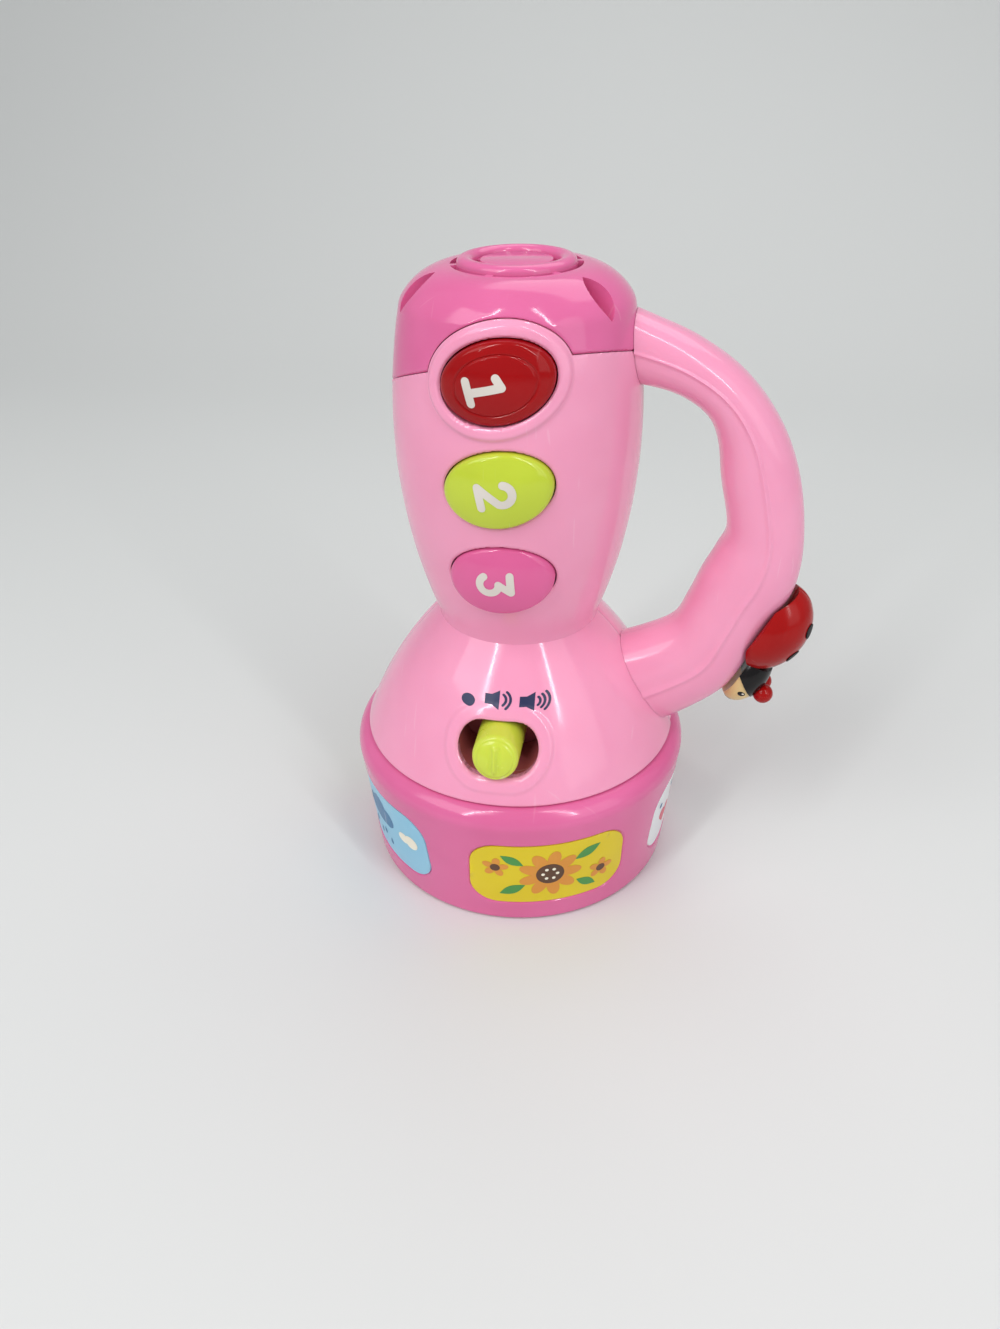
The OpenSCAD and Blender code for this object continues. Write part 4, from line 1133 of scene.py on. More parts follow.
@dataclass
class Grip:
    """The D-shaped side grip in two halves, in millimetres."""

    shelf: Shelf
    outer: tuple[Flat, ...] = (
        (22, 177), (34.5, 172.4), (47.6, 166.8), (60, 158.3), (70.2, 146), (77, 131), (80.5, 113), (80, 98.5),
        (75.2, 87.3), (70.4, 76), (64.5, 64.2), (54.6, 55.2), (40, 45.5))
    inner: tuple[Flat, ...] = (
        (22, 156), (33.7, 155), (43.2, 152.6), (50.6, 147.6), (54.1, 140.5), (56, 130), (59, 116), (56.8, 109),
        (53.4, 101.5), (50.2, 92.8), (46.3, 84.8), (37, 79.5), (24, 74.5))
    half_depths: Flat = (9.0, 11.5)
    fullness: float = 0.9
    steps: int = 6
    section: int = 140
    ridge: Triple = (0.5, 0.045, 1.52)
    part_line: float = 0.05
    bores: Flat = (4.75, 5.95)
    depths: Flat = (5.0, 11.65)
    housing_gap: float = 0.1

    def along(self, points: tuple[Flat, ...]) -> list[Vector]:
        """Smooth curve through a row of points."""
        made = []
        for i in range(len(points) - 1):
            a, b, c, d = (Vector(points[min(max(i + k, 0), len(points) - 1)]) for k in (-1, 0, 1, 2))
            for k in range(self.steps):
                t = k / self.steps
                made.append(0.5 * (2 * b + (c - a) * t + (2 * a - 5 * b + 4 * c - d) * t**2
                                   + (3 * b - a - 3 * c + d) * t**3))
        return made + [Vector(points[-1])]

    def ring(self, outer: Vector, inner: Vector, share: float) -> list[Vector]:
        """Half section between an outer and an inner point."""
        middle, half = (outer + inner) / 2, (outer - inner) / 2
        depth = self.half_depths[0] + (self.half_depths[1] - self.half_depths[0]) * share
        rise, width, ridge_at = self.ridge
        made = []
        for angle in (math.pi * k / self.section for k in range(self.section + 1)):
            across = math.copysign(abs(math.cos(angle)) ** self.fullness, math.cos(angle))
            out = depth * max(0.0, math.sin(angle)) ** self.fullness + rise * hump(angle - ridge_at, width)
            spot = middle + half * across
            made.append(Vector((spot.x, -self.part_line - out, spot.y)) * MM)
        return made

    def pocket(self) -> Piece:
        """Bore and keeper pocket for the ladybird's stem."""
        (bore, wide), (keeper_z, deep) = self.bores, self.depths
        loop = [(0.0, -deep), (wide, -deep), (wide, -keeper_z), (bore, -keeper_z), (bore, deep), (0.0, deep)]
        piece = revolve(loop, 64)
        piece.data.transform(Matrix.Scale(MM, 4) @ Ladybird.frame() @ Matrix.Scale(1 / MM, 4))
        return piece

    def build(self) -> Piece:
        """Models both halves and trims them against the housing.

        Returns:
            The untrimmed form of the front half, to be used up by the ladybird.
        """
        outer, inner = self.along(self.outer), self.along(self.inner)
        count, around = len(outer), self.section + 2
        deselect()
        bpy.ops.mesh.primitive_grid_add(x_subdivisions=around - 1, y_subdivisions=count - 1)
        piece = bpy.context.object
        for station in range(count):
            ring = self.ring(outer[station], inner[station], station / (count - 1))
            for k, spot in enumerate(ring + ring[:1]):
                piece.data.vertices[station * around + k].co = spot
        with editing(piece):
            bpy.ops.mesh.remove_doubles(threshold=1e-7)
            bpy.ops.mesh.fill_holes(sides=0)
        tidy_normals(piece)
        blank = duplicate(piece)
        combine(piece, FORM.solid(self.housing_gap, 40.0))
        combine(piece, self.pocket())
        twin = duplicate(piece)
        twin.data.transform(Matrix.Scale(-1, 4, (0, 1, 0)))
        tidy_normals(twin)
        for half, name in ((piece, "handle_front"), (twin, "handle_rear")):
            smooth(half, 40.0)
            self.shelf.stand_in(half, name, Body.HOUSING, "light_pink_plastic")
        return blank


# Prints and inlays


def ribbon(path: Sequence[Flat], width: float) -> list[Flat]:
    """Outline of a stroke with round ends.

    Args:
        path: points along its middle.
        width: its width.

    Returns:
        The closed outline.
    """
    spots = [Vector(point) for point in path]
    half, sharpest, cap_steps = width / 2, 0.62, 8
    left, right = [], []
    for k, spot in enumerate(spots):
        before = (spot - spots[k - 1]).normalized() if k else (spots[1] - spot).normalized()
        after = (spots[k + 1] - spot).normalized() if k < len(spots) - 1 else before
        along = (before + after).normalized()
        side = Vector((-along.y, along.x)) * half / max(sharpest, along.dot(before))
        left.append(spot + side)
        right.append(spot - side)
    caps = []
    for spot, edge in ((spots[-1], left[-1]), (spots[0], right[0])):
        start = math.degrees(math.atan2(edge.y - spot.y, edge.x - spot.x))
        caps.append(arc(spot.x, spot.y, half, start, start - 180, cap_steps)[1:-1])
    return [tuple(p) for p in left] + caps[0] + [tuple(p) for p in reversed(right)] + caps[1]


def star(x: float, y: float, outer: float, inner: float, points: int = 5) -> list[Flat]:
    """Outline of a star."""
    made = []
    for k in range(2 * points):
        turn, size = math.pi / 2 + math.pi * k / points, outer if k % 2 == 0 else inner
        made.append((x + size * math.cos(turn), y + size * math.sin(turn)))
    return made


def heart(x: float, y: float, size: float, sides: int = 48) -> list[Flat]:
    """Outline of a heart."""
    made = []
    for t in (math.tau * k / sides for k in range(sides)):
        u = 16 * math.sin(t) ** 3
        v = 13 * math.cos(t) - 5 * math.cos(2 * t) - 2 * math.cos(3 * t) - math.cos(4 * t)
        made.append((x + size * u / 16, y + size * v / 16))
    return made


def leaf(x: float, y: float, length: float, width: float, turn: float, sides: int = 20) -> list[Flat]:
    """Outline of a pointed leaf, turned in degrees."""
    made = []
    for t in (k / sides for k in range(2 * sides)):
        u = length * (t - 0.5) if t <= 1 else length * (1.5 - t)
        v = width / 2 * math.sin(math.pi * (t % 1)) * (1 if t <= 1 else -1)
        made.append((u, v))
    return turned(made, x, y, turn)


def drop(x: float, y: float, size: float, sides: int = 36) -> list[Flat]:
    """Outline of a falling drop."""
    turns = [math.tau * k / sides for k in range(sides)]
    return [(x + size * math.sin(t) * math.sin(t / 2) ** 1.5, y + size * 1.3 * math.cos(t)) for t in turns]


@dataclass
class Print:
    """Thin shapes laid on a finished piece along rays, in millimetres."""

    shelf: Shelf
    target: Piece
    ray: Callable[[float, float], Ray]
    lift: float = 0.06
    thickness: float = 0.04
    layer_step: float = 0.05
    shape_step: float = 0.002
    cuts: int = 5

    def __post_init__(self) -> None:
        """Prepares the target for ray casts."""
        mesh = self.target.data
        self.tree = BVHTree.FromPolygons([v.co for v in mesh.vertices], [p.vertices for p in mesh.polygons])

    def shape(self, outline: Sequence[Flat], height: float) -> Piece:
        """Lays one filled outline on the target.

        Args:
            outline: its points in the print's own plane.
            height: how far it lies off the target.

        Returns:
            The thin mesh.
        """
        piece = polygon([(x, y, 0) for x, y in outline], True)
        with editing(piece):
            bpy.ops.mesh.quads_convert_to_tris()
            bpy.ops.mesh.subdivide(number_cuts=self.cuts)
        for vertex in piece.data.vertices:
            start, heading = self.ray(vertex.co.x, vertex.co.y)
            spot = self.tree.ray_cast(start * MM, heading)[0]
            if spot is None:
                raise ValueError("a print misses its target")
            vertex.co = spot - heading * height * MM
        apply_modifier(piece, "SOLIDIFY", thickness=self.thickness * MM, offset=-1.0)
        tidy_normals(piece)
        return piece

    def lay(self, name: str, outlines: Sequence[Sequence[Flat]], body: Body, slot: str, finish: str,
            layer: int = 0) -> None:
        """Lays several outlines as one piece.

        Args:
            name: the piece's name.
            outlines: the shapes, each a little higher than the one before it, so that none shares its plane.
            body: the body that it rides on.
            slot: the record's material slot.
            finish: its finish.
            layer: how many prints lie under it.
        """
        base = self.lift + self.layer_step * layer
        made = [self.shape(outline, base + self.shape_step * k) for k, outline in enumerate(outlines)]
        self.shelf.settle(join(made), name, body, slot, finish)


def from_front(x: float, z: float) -> Ray:
    """Ray that comes in from the buttons' side."""
    return Vector((x, -FAR, z)), Vector((0, 1, 0))


# Buttons and slider


@dataclass
class Button:
    """One oval push button with its digit, in millimetres."""

    shelf: Shelf
    number: int
    slot: str
    crown: float = 3.0
    deep: float = 14.5
    spread: Flat = (1.4, 2.0)
    edge_shares: tuple[float, ...] = (0.8, 0.83, 0.86, 0.89, 0.91, 0.93, 0.95, 0.965, 0.98, 0.99, 0.996, 1.0)
    rim: float = 1.3
    rim_t: float = 1.4
    rim_gap: float = 0.3
    edge: float = 1.0
    groove: float = 0.0
    groove_at: float = 0.72
    groove_width: float = 0.022
    plunger: Flat = (4.0, 14.7)
    overlap: float = 0.2
    stroke: float = 2.1
    shift: float = 0.0
    sides: int = 120

    def oval(self) -> Oval:
        """The oval that this button fills."""
        return BUTTON_OVALS[self.number - 1]

    def face(self, p: float, q: float, rho: float) -> float:
        """Distance of the domed face in front of the axis."""
        oval = self.oval()
        wide, high = self.spread
        share = (p / (wide * oval.half_width)) ** 2 + (q / (high * oval.half_height)) ** 2
        top = FORM.radius(oval.height) + self.crown - self.deep * (1 - math.sqrt(1 - share))
        top -= rounding((1 - rho) * oval.half_height, self.edge)
        return top - self.groove * hump(rho - self.groove_at, self.groove_width)

    def rim_y(self) -> float:
        """Distance of the keeper rim's front in front of the axis."""
        oval = self.oval()
        reach = oval.half_height + self.rim
        room = min(FORM.radius(oval.height - reach, WALL), FORM.radius(oval.height + reach, WALL))
        return math.sqrt(room**2 - (oval.half_width + self.rim) ** 2) - self.rim_gap

    def build(self) -> None:
        """Models the button as a round disc, fits it to the oval and lays its digit on it."""
        oval, rim_y, unit = self.oval(), self.rim_y(), 10.0
        shares = [k / 30 for k in range(20)] + [self.groove_at + 0.01 * k for k in range(-6, 7)]
        loop = [(rho * unit, 1.0) for rho in (*shares, *self.edge_shares)]
        loop += [(unit, 0.0), (unit + self.rim, 0.0), (unit + self.rim, -self.rim_t), (0.0, -self.rim_t)]
        piece = revolve(loop, self.sides)
        place = oval.plane(0.0)
        for vertex in piece.data.vertices:
            x, y, level = (value / MM for value in vertex.co)
            flat, turn = math.hypot(x, y), math.atan2(y, x)
            rho, grow = min(flat / unit, 1.0), max(0.0, flat - unit)
            p = (oval.half_width * rho + grow) * math.cos(turn)
            q = (oval.half_height * rho + grow) * math.sin(turn)
            out = self.face(p, q, rho) if level > 0.5 else rim_y + level
            vertex.co = place @ Vector((p, q, out)) * MM
        radius, back = self.plunger
        length = rim_y - self.rim_t - back + self.overlap
        combine(piece, prism(ellipse(0, 0, radius, radius), facing_front(oval.height, back), length), "UNION")
        smooth(piece, 38.0)
        self.shelf.stand_in(piece, f"button_{self.number}", Body(f"button_{self.number}"), self.slot)
        self.dress(piece)

    def strokes(self) -> list[list[Flat]]:
        """Middle lines of the digit, upright and centred."""
        if self.number == 1:
            return [[(-2.1, 3.3), (0.3, 4.2)], [(0.3, 4.2), (0.3, -4.2)], [(-2.6, -4.2), (2.9, -4.2)]]
        if self.number == 2:
            return [arc(0, 1.7, 2.6, 165, -28) + [(-2.7, -4.2)], [(-2.7, -4.2), (2.9, -4.2)]]
        return [[(-2.5, 4.2), (2.4, 4.2)], [(2.4, 4.2), (-0.1, 1.0)], arc(-0.2, -1.5, 2.6, 85, -150)]

    def dress(self, piece: Piece) -> None:
        """Lays the digit, which reads from the cap's side, on the face."""
        oval = self.oval()

        def ray(dx: float, dy: float) -> Ray:
            """Ray for a point of the upright digit."""
            return from_front(*turned([(dy + self.shift, -dx)], 0, oval.height, oval.lean)[0])

        outlines = [ribbon(path, self.stroke) for path in self.strokes()]
        digit = Print(self.shelf, piece, ray)
        digit.lay(f"digit_{self.number}", outlines, Body(f"button_{self.number}"), self.slot, "digit_white")


@dataclass
class VolumeKnob:
    """The lime slider peg, its plate and the icons above its slot, in millimetres."""

    shelf: Shelf
    radius: float = 6.7
    tip: float = 47.4
    bow: float = 14.0
    edge: float = 1.2
    ridge: Triple = (0.5, 0.5, 4.8)
    grooves: Flat = (0.7, 2.4)
    ring: Triple = (5.5, 0.3, 0.22)
    tilt: float = 14.0
    tip_from: float = 5.0
    plate_y: float = 27.7
    plate: Triple = (33.6, 1.6, 15.2)
    overlap: float = 0.4
    icon_z: float = 72.3
    squeeze: float = 0.68
    wave: float = 0.75

    def build(self) -> None:
        """Models the peg with its rib, and the plate behind it."""
        spots = [self.radius * k / 40 for k in range(38)] + [self.radius * s for s in (0.95, 0.97, 0.985, 1.0)]
        loop = []
        for spot in spots:
            fall = self.bow - math.sqrt(self.bow**2 - spot**2)
            loop.append((spot, self.tip - fall - rounding(self.radius - spot, self.edge)))
        back = self.plate_y - self.overlap
        piece = revolve(loop + [(self.radius, back), (0.0, back)], 144)
        piece.data.transform(Matrix.Translation((0, 0, SLOT.height * MM)) @ Matrix.Rotation(math.pi / 2, 4, "X"))
        for vertex in piece.data.vertices:
            x, y, z = vertex.co.x / MM, -vertex.co.y / MM, vertex.co.z / MM - SLOT.height
            if y > self.plate_y + self.tip_from:
                vertex.co.y -= self.relief(x, z) * MM
        smooth(piece, 38.0)
        self.shelf.stand_in(piece, "volume_knob", Body.KNOB, "button_green", "knob_lime")
        self.plate_behind()

    def relief(self, x: float, z: float) -> float:
        """How far the leaning tip stands out: a rib between two grooves, inside a shallow ring."""
        width, rise, half = self.ridge
        depth, away = self.grooves
        rib = hump(x, width) - depth * hump(abs(x) - away * width, width)
        radius, band, sink = self.ring
        ring = sink * hump(math.hypot(x, z) - radius, band)
        return rise * rib * ease((half - abs(z)) / 2) - ring - z * math.tan(math.radians(self.tilt))

    def plate_behind(self) -> None:
        """Models the sliding plate that closes the slot from behind, in a darker pink that paints the shade inside
        the slot in place of the knob's lime.
        """
        length, thick, height = self.plate
        deselect()
        bpy.ops.mesh.primitive_cube_add(size=1.0, location=(0, -(self.plate_y - thick / 2) * MM, SLOT.height * MM))
        piece = bpy.context.object
        piece.scale = (length * MM, thick * MM, height * MM)
        bpy.ops.object.transform_apply(location=True, rotation=True, scale=True)
        apply_modifier(piece, "BEVEL", width=0.3 * MM, segments=3)
        smooth(piece, 38.0)
        self.shelf.settle(piece, "slider_plate", Body.KNOB, "button_green", "painted_shade_pink")

    def dress(self, housing: Piece) -> None:
        """Prints the three volume icons on the front housing."""

        def ray(x: float, y: float) -> Ray:
            """Ray for a point measured from the icons' middle line, squeezed to look round on the slope."""
            return from_front(x, self.icon_z + self.squeeze * y)

        outlines = [ellipse(-9.6, 0, 2.05, 2.05)]
        for x, y, waves in ((-2.5, 1.6, ((2.3, 50), (3.6, 48))), (7.5, 1.2, ((1.9, 46), (3.2, 44), (4.5, 42)))):
            outlines.append([(x - 2.15, y - 1.7), (x - 0.15, y - 1.7), (x + 2.1, y - 3.1), (x + 2.1, y + 3.1),
                             (x - 0.15, y + 1.7), (x - 2.15, y + 1.7)])
            outlines += [ribbon(arc(x + 1.7, y, radius, -half, half, 12), self.wave) for radius, half in waves]
        icons = Print(self.shelf, housing, ray)
        icons.lay("volume_icons", outlines, Body.HOUSING, "light_pink_plastic", "icon_navy")


# Ladybird


@dataclass
class Ladybird:
    """The ladybird push button on the grip, in millimetres along its own axes."""

    shelf: Shelf
    grip: Piece
    place: Triple = (74.2, 0.0, 83.4)
    lean: float = 117.2
    middle: float = -1.0
    size: Triple = (14.5, 11.5, 11.4)
    rim: float = 4.0
    room: float = 1.8
    flat: float = 0.06
    overlap: float = 0.2
    seam: float = 0.02
    nose: float = 10.4
    head: Triple = (16.4, 0.0, 3.9)
    head_size: Triple = (10.5, 7.4, 6.3)
    face_lean: float = 35.0
    hood_depth: float = 1.2
    hood_step: float = 0.35
    wing_line: Flat = (0.38, 0.32)
    feeler: Triple = (18.4, 3.4, 10.8)
    feeler_r: float = 3.0
    stem: tuple[Flat, ...] = ((4.5, 3.2), (4.5, -5.25), (5.7, -5.25), (5.7, -6.25))

    @classmethod
    def frame(cls) -> Matrix:
        """Matrix from the bug's own axes to the part."""
        return Matrix.Translation(Vector(cls.place)) @ Matrix.Rotation(math.radians(cls.lean), 4, "Y")

    def ball(self, centre: Sequence[float], size: Sequence[float]) -> Piece:
        """An ellipsoid on the bug's own axes."""
        deselect()
        bpy.ops.mesh.primitive_uv_sphere_add(segments=96, ring_count=64, radius=1.0)
        piece = bpy.context.object
        piece.data.transform(Matrix.Translation(Vector(centre)) @ Matrix.Diagonal((*size, 1)))
        return piece

    def block(self, centre: Triple, lean: float = 0.0) -> Piece:
        """A large box on the bug's own axes, turned about the cross axis through the head's middle."""
        deselect()
        bpy.ops.mesh.primitive_cube_add(size=1.0)
        piece = bpy.context.object
        piece.data.transform(Matrix.Translation(Vector(centre)) @ Matrix.Diagonal((2 * FAR, 2 * FAR, 2 * FAR, 1)))
        if lean:
            pivot = Matrix.Translation(Vector(self.head))
            piece.data.transform(pivot @ Matrix.Rotation(math.radians(lean), 4, "Y") @ pivot.inverted())
        return piece

    def finish(self, piece: Piece, name: str, slot: str) -> None:
        """Takes a piece to its place on the grip and dresses it."""
        piece.data.transform(Matrix.Scale(MM, 4) @ self.frame())
        tidy_normals(piece)
        smooth(piece, 35.0)
        self.shelf.stand_in(piece, name, Body.LADYBIRD, slot)

    def seat(self, piece: Piece) -> None:
        """Hollows a piece so that it sits astride the grip, with room for the press."""
        to_bug = Matrix.Translation((0, 0, self.room)) @ self.frame().inverted() @ Matrix.Scale(1 / MM, 4)
        for side in (1, -1):
            tool = duplicate(self.grip)
            for vertex in tool.data.vertices:
                if vertex.co.y > -self.flat * MM:
                    vertex.co.y = self.overlap * MM
            tool.data.transform(to_bug @ Matrix.Diagonal((1, side, 1, 1)))
            tidy_normals(tool, 1e-4)
            combine(piece, tool)
            if not piece.data.polygons:
                raise ValueError("the seat left nothing of a piece")

    def build(self) -> None:
        """Models the shell, hood, face and feelers."""
        self.shell()
        x, _, z = self.head
        hood = self.ball(self.head, self.head_size)
        combine(hood, self.block((self.nose + self.seam - FAR, 0, 0)))
        combine(hood, self.block((x + self.hood_depth + FAR, 0, z), self.face_lean))
        self.seat(hood)
        bevel(hood, 0.3, 50)
        self.finish(hood, "ladybird_head", "ladybird_black")
        face = self.ball(self.head, [size - self.hood_step for size in self.head_size])
        combine(face, self.block((x + self.hood_depth - self.seam - FAR, 0, z), self.face_lean))
        self.seat(face)
        self.finish(face, "ladybird_face", "ladybird_cream")
        self.features(face)
        self.feelers()
        bpy.data.objects.remove(self.grip, do_unlink=True)

    def shell(self) -> None:
        """Models the wing cases with the line between them, and the stem below."""
        depth, width = self.wing_line
        piece = self.ball((self.middle, 0, 0), self.size)
        with editing(piece):
            bpy.ops.mesh.subdivide(number_cuts=4)
        for vertex in piece.data.vertices:
            away = Vector((vertex.co.x - self.middle, vertex.co.y, vertex.co.z))
            if away.z > 0 and vertex.co.x < self.nose + 1:
                sink = depth * hump(vertex.co.y, width)
                vertex.co = vertex.co - away.normalized() * sink
        combine(piece, self.block((self.nose + FAR, 0, 0)))
        combine(piece, self.block((0, 0, -self.rim - FAR)))
        self.seat(piece)
        bevel(piece, 0.2, 45)
        foot = revolve([(0.0, self.stem[0][1])] + list(self.stem) + [(0.0, self.stem[-1][1])], 64)
        foot.data.transform(Matrix.Scale(1 / MM, 4))
        combine(piece, foot, "UNION")
        self.finish(piece, "ladybird_shell", "ladybird_red")

    def features(self, face: Piece) -> None:
        """Lays the eyes and the smile on the face."""
        to_part = self.frame()
        centre = to_part @ Vector(self.head)

        def ray(side: float, up: float) -> Ray:
            """Ray towards the head's middle, by angles in degrees from its front."""
            turn, rise = math.radians(side), math.radians(up)
            away = Vector((math.cos(rise) * math.cos(turn), math.cos(rise) * math.sin(turn), math.sin(rise)))
            away = (to_part.to_3x3() @ away).normalized()
            return centre + away * 30, -away

        marks = Print(self.shelf, face, ray)
        eyes = [ellipse(-58, 4, 7, 9), ellipse(58, 4, 7, 9), ribbon(arc(0, 14, 22, -140, -40), 4.0)]
        marks.lay("ladybird_eyes", eyes, Body.LADYBIRD, "ladybird_black", "ladybird_black")
        glints = [ellipse(-60, 7, 2.2, 2.8), ellipse(56, 7, 2.2, 2.8)]
        marks.lay("ladybird_glints", glints, Body.LADYBIRD, "ladybird_cream", "print_cream", layer=1)

    def feelers(self) -> None:
        """Models the two feeler balls."""
        x, y, z = self.feeler
        made = [self.ball((x, side * y, z), (self.feeler_r,) * 3) for side in (-1, 1)]
        for piece in made:
            combine(piece, self.ball(self.head, self.head_size))
        self.finish(join(made), "ladybird_feelers", "ladybird_red")


# Labels


def wreath(x: float, y: float, radius: float, turns: Sequence[float], petal: Flat) -> list[list[Flat]]:
    """Ellipses round a point, each turned to face away from it.

    Args:
        x: the point's place across.
        y: the point's place up.
        radius: how far the ellipses' middles lie from it.
        turns: direction of each ellipse, in degrees.
        petal: half length and half width of an ellipse.

    Returns:
        The outlines.
    """
    made = []
    for turn in turns:
        angle = math.radians(turn)
        made.append(ellipse(x + radius * math.cos(angle), y + radius * math.sin(angle), *petal, turn))
    return made


@dataclass
class RingLabel:
    """The motif on one picture label of the ring, in millimetres."""

    shelf: Shelf
    number: int
    slot: str
    face_r: float = 50.5

    def ray(self, p: float, q: float) -> Ray:
        """Ray towards the axis for a point of the label's picture."""
        middle = LABEL_FIRST + LABEL_STEP * (self.number - 1)
        turn = math.radians(middle + math.degrees(p / self.face_r))
        away = Vector((math.cos(turn), math.sin(turn), 0))
        return away * FAR + Vector((0, 0, LABEL_Z + q)), -away

    def build(self, plate: Piece) -> None:
        """Lays the motif's layers on the label's plate.

        Args:
            plate: the dressed plate.
        """
        motifs = (self.flower, self.hearts, self.stars, self.apples, self.clouds)
        picture = Print(self.shelf, plate, self.ray, lift=0.03, thickness=0.02, cuts=4)
        for layer, (ink, outlines) in enumerate(motifs[self.number - 1]()):
            picture.lay(f"label_{self.number}_{ink}_{layer}", outlines, Body.RING, self.slot, ink, layer)

    def flower(self) -> Motif:
        """A broad flower between leaves and two small ones, from the lowest ink up."""
        buds = ((-16.5, 3.2), (16.5, -2.8))
        petals = wreath(0, 0, 6.2, range(0, 360, 40), (3.6, 2.0))
        for x, y in buds:
            petals += wreath(x, y, 2.4, range(10, 370, 72), (1.7, 1.2))
        leaves = [leaf(-11.5, -6.6, 9, 3.6, 28), leaf(11.5, 6.6, 9, 3.6, 28), leaf(-11.5, 6.4, 8, 3.2, -32),
                  leaf(11.8, -7.0, 8, 3.2, -32)]
        hearts = [ellipse(0, 0, 4.3, 4.3)] + [ellipse(x, y, 1.5, 1.5) for x, y in buds]
        dots = [ellipse(x, y, 0.55, 0.55) for x, y in arc(0, 0, 2.2, 0, 300, 5)]
        return [("print_leaf", leaves), ("print_amber", petals), ("print_brown", hearts), ("print_cream", dots)]

    def hearts(self) -> Motif:
        """Hearts of three sizes with dots."""
        hearts = [heart(0, 0.6, 7.2), heart(-14, -1.5, 4.2), heart(14, 1.5, 4.2)]
        dots = [ellipse(x, y, 1, 1) for x, y in ((-9, 7), (9, -7.4), (-19, 5), (19, -4.5), (-7.6, -7), (7.8, 7.2))]
        return [("print_rose", hearts), ("print_teal", dots), ("print_cream", [heart(-1.8, 2.6, 1.7)])]

    def stars(self) -> Motif:
        """A row of stars."""
        stars = [star(0, 0, 8.2, 3.9), star(-14.5, 1.6, 5, 2.4), star(14.5, -1.6, 5, 2.4)]
        dots = [ellipse(x, y, 0.9, 0.9) for x, y in ((-8.4, -6.6), (8.2, 7), (-19.5, -5.4), (19.5, 5))]
        return [("print_cream", stars + dots), ("print_amber", [star(0, 0, 4.6, 2.2)])]

    def apples(self) -> Motif:
        """Two apples with leaves."""
        middles = (-9.5, 9.5)
        fruit = [ellipse(x + side * 2.3, -1.4, 4.2, 5.6, side * 8) for x in middles for side in (-1, 1)]
        stems = [ribbon([(x, 3), (x + 0.6, 6.6)], 1.0) for x in middles]
        leaves = [leaf(x + 3.4, 6.2, 5.4, 2.8, 22) for x in middles]
        return [("print_rose", fruit), ("print_brown", stems), ("print_leaf", leaves)]

    def clouds(self) -> Motif:
        """A cloud with rain between two small ones."""
        cloud = [ellipse(-4.6, 3, 4, 3.6), ellipse(0.4, 4.4, 4.8, 4.6), ellipse(5.2, 3, 3.8, 3.4),
                 ellipse(0.2, 1.8, 8.6, 2.6)]
        puffs = ((-1.8, 2.4, 2.0), (1.6, 2.8, 2.6))
        small = [ellipse(x + dx, y, w, h) for x, y in ((-16, -1), (16, 1)) for dx, w, h in puffs]
        drops = [drop(x, y, 1.1) for x, y in ((-5.5, -4.6), (-1.8, -6.8), (1.8, -4.6), (5.5, -6.8), (-9, -7.6))]
        return [("print_teal", cloud + drops), ("print_cream", small)]


# Pieces that keep the solid's shape


MODELLED = frozenset({
    "front_housing", "rear_housing", "end_cap", "color_ring", "handle_front", "handle_rear", "button_1", "button_2",
    "button_3", "volume_knob", "ladybird_shell", "ladybird_head", "ladybird_face", "ladybird_feelers"})


@dataclass
class DressedNodes:
    """Solids that stay as they are: each gets a merged, smooth-shaded copy and its finish."""

    shelf: Shelf
    skip: frozenset[str]
    finishes: dict[str, str] = field(default_factory=dict)

    def build(self) -> None:
        """Copies and dresses every solid that no modelled piece stands for."""
        bodies = frame["record"]["behaviour"]["bodies"]
        owner = {node: Body(body) for body, nodes in bodies.items() for node in nodes}
        slots = {row["node"]: row["material_slot"] for row in frame["record"]["subparts"]}
        for name, node in frame["nodes"].items():
            if name in self.skip:
                continue
            piece = duplicate(node)
            piece.parent = None
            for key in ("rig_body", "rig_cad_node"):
                if key in piece:
                    del piece[key]
            with editing(piece):
                bpy.ops.mesh.remove_doubles(threshold=MERGE)
            smooth(piece, 28.0)
            self.shelf.stand_in(piece, name, owner[name], slots[name], self.finishes.get(name, ""))


# Studio


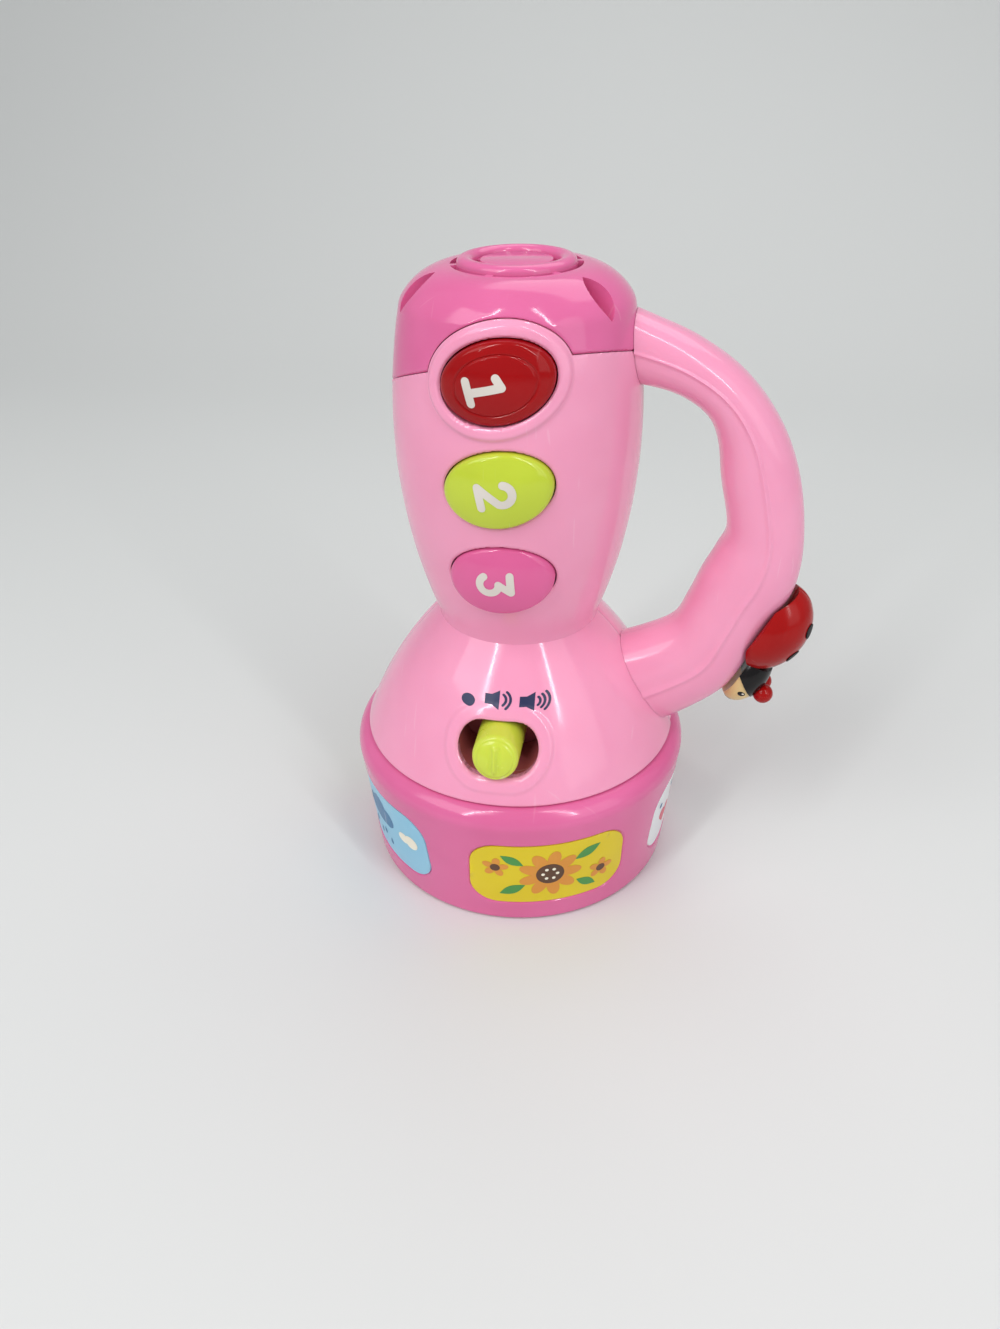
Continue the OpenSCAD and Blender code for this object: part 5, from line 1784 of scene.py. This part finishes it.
@dataclass
class Studio:
    """Camera at the photograph's angle, pale floor and soft light, in metres where no other unit is named."""

    lens_mm: float = 27.09
    sensor_mm: float = 36.0
    clip: float = 0.005
    eye_mm: Triple = (41.91, -262.85, 237.40)
    right: Triple = (0.9853, 0.1698, -0.0166)
    up: Triple = (-0.0792, 0.5419, 0.8367)
    aim: Triple = (0.01, 0.0, 0.09)
    lamps: tuple[tuple[str, Triple, Flat, float], ...] = (
        ("key", (-0.55, -0.55, 0.85), (0.7, 0.7), 3.5),
        ("fill", (0.75, -0.5, 0.5), (0.6, 0.8), 1.5),
        ("back", (0.2, 0.5, 0.9), (0.9, 0.5), 2.0),
        ("strip_left", (-0.28, -0.55, 0.8), (0.03, 0.9), 2.0),
        ("strip_right", (0.44, -0.44, 0.8), (0.03, 0.9), 2.0),
    )
    floor_size: float = 6.0
    floor_color: Rgb = (218, 219, 218)
    floor_roughness: float = 0.6
    sweep_from: float = 0.45
    sweep_rise: float = 1.1
    world_color: Rgb = (226, 229, 230)
    world_strength: float = 0.58

    def build(self) -> None:
        """Places the camera, floor, lamps and world."""
        self.camera()
        self.floor()
        for lamp in self.lamps:
            self.lamp(*lamp)
        self.world()
        bpy.context.scene.view_settings.view_transform = "Standard"

    def camera(self) -> None:
        """Makes the camera from the fitted view."""
        data = bpy.data.cameras.new("photo_view")
        data.lens, data.sensor_width, data.clip_start = self.lens_mm, self.sensor_mm, self.clip
        piece = link(bpy.data.objects.new("photo_view", data))
        right, up = Vector(self.right).normalized(), Vector(self.up)
        back = right.cross(up).normalized()
        turn = Matrix((right, back.cross(right), back)).transposed().to_4x4()
        piece.matrix_world = Matrix.Translation(Vector(self.eye_mm) * MM) @ turn
        bpy.context.scene.camera = piece

    def floor(self) -> None:
        """Lays a pale floor that sweeps up behind the toy."""
        deselect()
        bpy.ops.mesh.primitive_grid_add(x_subdivisions=40, y_subdivisions=120, size=self.floor_size)
        piece = bpy.context.object
        piece.name = "floor"
        for vertex in piece.data.vertices:
            vertex.co.z = self.sweep_rise * max(0.0, vertex.co.y - self.sweep_from) ** 2
        smooth(piece, 60.0)
        made = bpy.data.materials.new("floor_paper")
        made.use_nodes = True
        set_inputs(made.node_tree.nodes["Principled BSDF"],
                   {"Base Color": (*srgb(*self.floor_color), 1), "Roughness": self.floor_roughness})
        piece.data.materials.append(made)

    def lamp(self, name: str, place: Triple, size: Flat, watts: float) -> None:
        """Hangs an area lamp that looks at the toy's middle.

        Args:
            name: the lamp's name.
            place: where it hangs.
            size: its width and height.
            watts: its power.
        """
        data = bpy.data.lights.new(name, "AREA")
        data.shape = "RECTANGLE"
        data.size, data.size_y = size
        data.energy = watts
        piece = link(bpy.data.objects.new(name, data))
        aim = Vector(self.aim) - Vector(place)
        piece.matrix_world = Matrix.Translation(place) @ aim.to_track_quat("-Z", "Y").to_matrix().to_4x4()

    def world(self) -> None:
        """Lights everything softly from a pale surround."""
        world = bpy.context.scene.world or bpy.data.worlds.new("surround")
        bpy.context.scene.world = world
        world.use_nodes = True
        set_inputs(world.node_tree.nodes["Background"],
                   {"Color": (*srgb(*self.world_color), 1), "Strength": self.world_strength})


def main() -> None:
    """Builds the studio and every piece of the flashlight."""
    deselect()
    Studio().build()
    shelf = Shelf()
    front = HousingHalf(shelf, front=True).build()
    HousingHalf(shelf, front=False).build()
    EndCap(shelf).build()
    ColourRing(shelf).build()
    blank = Grip(shelf).build()
    Button(shelf, 1, "button_red", groove=0.3, shift=-2.4).build()
    Button(shelf, 2, "button_green").build()
    Button(shelf, 3, "button_violet", shift=-1.2).build()
    knob = VolumeKnob(shelf)
    knob.build()
    knob.dress(front)
    Ladybird(shelf, blank).build()
    DressedNodes(shelf, MODELLED, {"ladybird_spots": "spot_black"}).build()
    for number, slot in enumerate(LABEL_SLOTS, 1):
        RingLabel(shelf, number, slot).build(bpy.data.objects[f"label_{number}.skin"])


if __name__ == "__main__":
    main()
